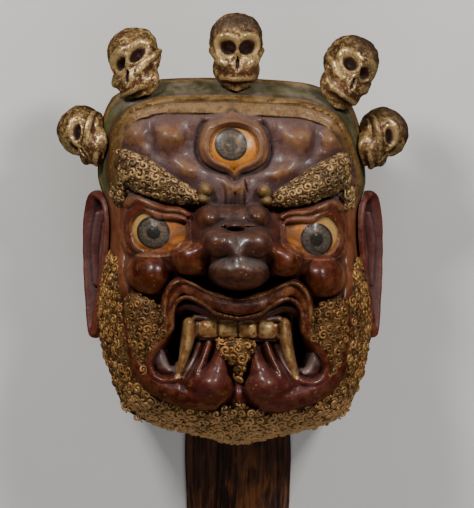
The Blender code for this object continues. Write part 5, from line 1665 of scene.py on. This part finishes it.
brow_curls.data.materials.append(curl_finish("brow_gilding", (0.50, 0.305, 0.135), (0.040, 0.018, 0.008)))
beard_curls.data.materials.append(curl_finish("beard_gilding", (0.50, 0.240, 0.072), (0.040, 0.016, 0.006)))
skull_gilding = skull_finish()
for item in skulls.values():
    item.data.materials.append(skull_gilding)

# %% [markdown]
# ## Ears and hair
#
# The ears wear the same dark red as the face, duller, with a rim rubbed pale and painted shade
# in their hollows. The hair was dyed once; it goes from nearly black to brown lock by lock, with
# reddish-brown patches, partly a painted highlight, that grow towards the free end.


# %% Ears and hair
def ear_finish():
    """Dull red with a pale rubbed rim and painted shade in its hollow."""
    f = Finish("dull_red_lacquer", Coat_Weight=0.12, Coat_Roughness=0.35)
    step = f.step
    hollow, rim = f.read("hollow", "rim")
    spots, clouds, fine = f.noise(8, 5, 0.6), f.noise(30, 3), f.noise(2, 3)
    colour = f.layers(
        f.mix(step(clouds, 0.38, 0.62), (0.090, 0.010, 0.005), (0.160, 0.030, 0.014)),
        (step(rim, 4.5, 9) * (0.3 + 0.5 * step(clouds, 0.4, 0.6)), (0.130, 0.058, 0.058)),
        (step(spots, 0.52, 0.68) * 0.5, (0.13, 0.055, 0.038)),
        ((1 - step(rim, 1.0, 4.5)) * step(spots, 0.42, 0.6) * 0.55, (0.21, 0.085, 0.042)),
        # painted shade in the ear's hollow
        (step(hollow, 0.2, 1.8) * 0.7, (0.014, 0.005, 0.0045)))
    return f.finish(Base_Color=colour, Roughness=0.36 + 0.3 * fine, Normal=f.bump((spots, 0.7), (fine, 0.2)))


def hair_finish():
    """Nearly black to brown by the lock, with reddish-brown patches that are partly a painted highlight, more
    of them towards the free end, and fine dark strands along it.
    """
    f = Finish("dyed_hair", Sheen_Weight=0.1, Sheen_Roughness=0.4)
    step = f.step
    lock, along = f.read("lock", "along")
    strands = f.noise(1.1, 4, 0.65, f.stretched(1.0, 0.05, 1.0))
    coarse = f.noise(7, 4, 0.65, f.stretched(1.0, 0.16, 1.0), 0.8)
    broad = f.noise(30, 3, 0.6, f.stretched(1.0, 0.5, 1.0), 0.5)
    # rust_and_highlight: reddish-brown patches, partly a painted highlight, more of them towards the free end
    rust_and_highlight = step(coarse + 0.5 * broad, 0.66, 0.92) * step(along + broad, 0.5, 1.2)
    colour = f.layers(
        f.mix(step(lock, 0.35, 0.8), (0.040, 0.019, 0.014), (0.105, 0.042, 0.022)),
        (rust_and_highlight * 0.8, (0.36, 0.125, 0.040)),
        (step(strands, 0.52, 0.70) * 0.6, (0.012, 0.005, 0.004)))
    return f.finish(Base_Color=colour, Roughness=0.42 + 0.3 * strands,
                    Normal=f.bump((strands, 1.1), (coarse, 1.0)))


ear_lacquer, dyed = ear_finish(), hair_finish()
for item in ears.values():
    item.data.materials.append(ear_lacquer)
for item in hair:
    item.data.materials.append(dyed)
print("finishes:", ", ".join(sorted(m.name for m in bpy.data.materials if m.users)))

# %% [markdown]
# ## Every piece in its place
#
# Each carved piece now stands for the solid of the same part and rides on the mask's one body.


# %% Every piece in its place
def dress(item, material_slot, *solids):
    """Hand a finished piece over: it rides on the body and stands for its solids."""
    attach(item, "root")
    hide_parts(*solids)


shell.name = "carved_mask"
for item in (shell, brow_curls, beard_curls):
    dress(item, "lacquered_wood" if item is shell else "gilded_wood", "mask_shell")
for name, item in skulls.items():
    dress(item, "gilded_wood", name)
for name, item in ears.items():
    dress(item, "lacquered_wood", name)
for item in hair:
    dress(item, "dyed_hair", "hair_fringe")
triangles = {o.name: sum(len(p.vertices) - 2 for p in o.data.polygons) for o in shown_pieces()}
print("triangles:", triangles, "in all", sum(triangles.values()))

# %% [markdown]
# ## Table, light and camera
#
# The mask lies on a plain pale floor. Two small lights stand beyond its crown, one on each side,
# so that brows and lids throw their shadow down over the eyes as they do when the mask hangs on a
# wall, and the lacquer shows crisp highlights. A wide soft light below the chin fills the shadows;
# like the world and the floor, it isn't mirrored in the lacquer, which would look milky under it.
# The camera looks straight down from far away with a long lens, which keeps the face true.


# %% Table, light and camera
def area_light(name, place, towards, size, power, colour=(1, 1, 1)):
    """Square light at a place, turned to a point."""
    lamp = bpy.data.lights.new(name, "AREA")
    lamp.size, lamp.energy, lamp.color = size, power, colour
    item = bpy.data.objects.new(name, lamp)
    item.location = place
    item.rotation_euler = (Vector(towards) - Vector(place)).to_track_quat("-Z", "Y").to_euler()
    bpy.context.collection.objects.link(item)
    return item


def floor_finish():
    f = Finish("pale_floor")
    tone = f.noise(400, 3)
    colour = f.mix(f.step(tone, 0.3, 0.7), (0.70, 0.69, 0.67), (0.74, 0.73, 0.71))
    return f.finish(Base_Color=colour, Roughness=0.75 + 0.1 * tone)


FLOOR_REACH = 6000
corners = [(x * FLOOR_REACH, y * FLOOR_REACH, 0) for x, y in ((-1, -1), (1, -1), (1, 1), (-1, 1))]
floor = make_object("floor", corners, [(0, 1, 2, 3)])
floor.data.materials.append(floor_finish())
floor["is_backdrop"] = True
floor.visible_glossy = False

face_middle = Vector((SHIFT[0], SHIFT[1], 150)) * MM
area_light("upper_left", (-0.75, 1.15, 1.15), face_middle, 0.32, 19, (1.0, 0.97, 0.93))
area_light("upper_right", (0.85, 1.05, 1.25), face_middle, 0.30, 17.5, (1.0, 0.97, 0.94))
fill = area_light("fill", (0.2, -1.5, 1.3), face_middle, 1.3, 14)
fill.visible_glossy = False

world = bpy.data.worlds.new("studio")
world.use_nodes = True
world.node_tree.nodes["Background"].inputs["Color"].default_value = (0.80, 0.84, 0.90, 1)
world.node_tree.nodes["Background"].inputs["Strength"].default_value = 0.09
bpy.context.scene.world = world
world.cycles_visibility.glossy = False

DISTANCE, VIEW_HEIGHT = 2.6, 0.508      # metres from the lip's level, and what the frame takes in there
camera = bpy.data.cameras.new("camera")
camera.lens = camera.sensor_width * DISTANCE / VIEW_HEIGHT
eye = bpy.data.objects.new("camera", camera)
bpy.context.collection.objects.link(eye)
target = Vector((SHIFT[0] + 1, SHIFT[1] + 6, LIP_LEVEL)) * MM
eye.matrix_world = (Matrix.Translation(target) @ Matrix.Rotation(np.radians(-2), 4, "Y")
                    @ Matrix.Translation((0, 0, DISTANCE)))
bpy.context.scene.camera = eye
print("lens: %.0f mm" % camera.lens)

# %% [markdown]
# ## Sizes, and the end
#
# The box of the solids and the box of the dressed mask are printed side by side. The dressed
# mask has to stay inside the box of its solids.

# %% Sizes, and the end
dressed_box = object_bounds()
for corner, dressed in zip(solid_box, dressed_box):
    print("solids %s mm, dressed %s mm" % (tuple(round(c / MM, 1) for c in corner),
                                          tuple(round(c / MM, 1) for c in dressed)))
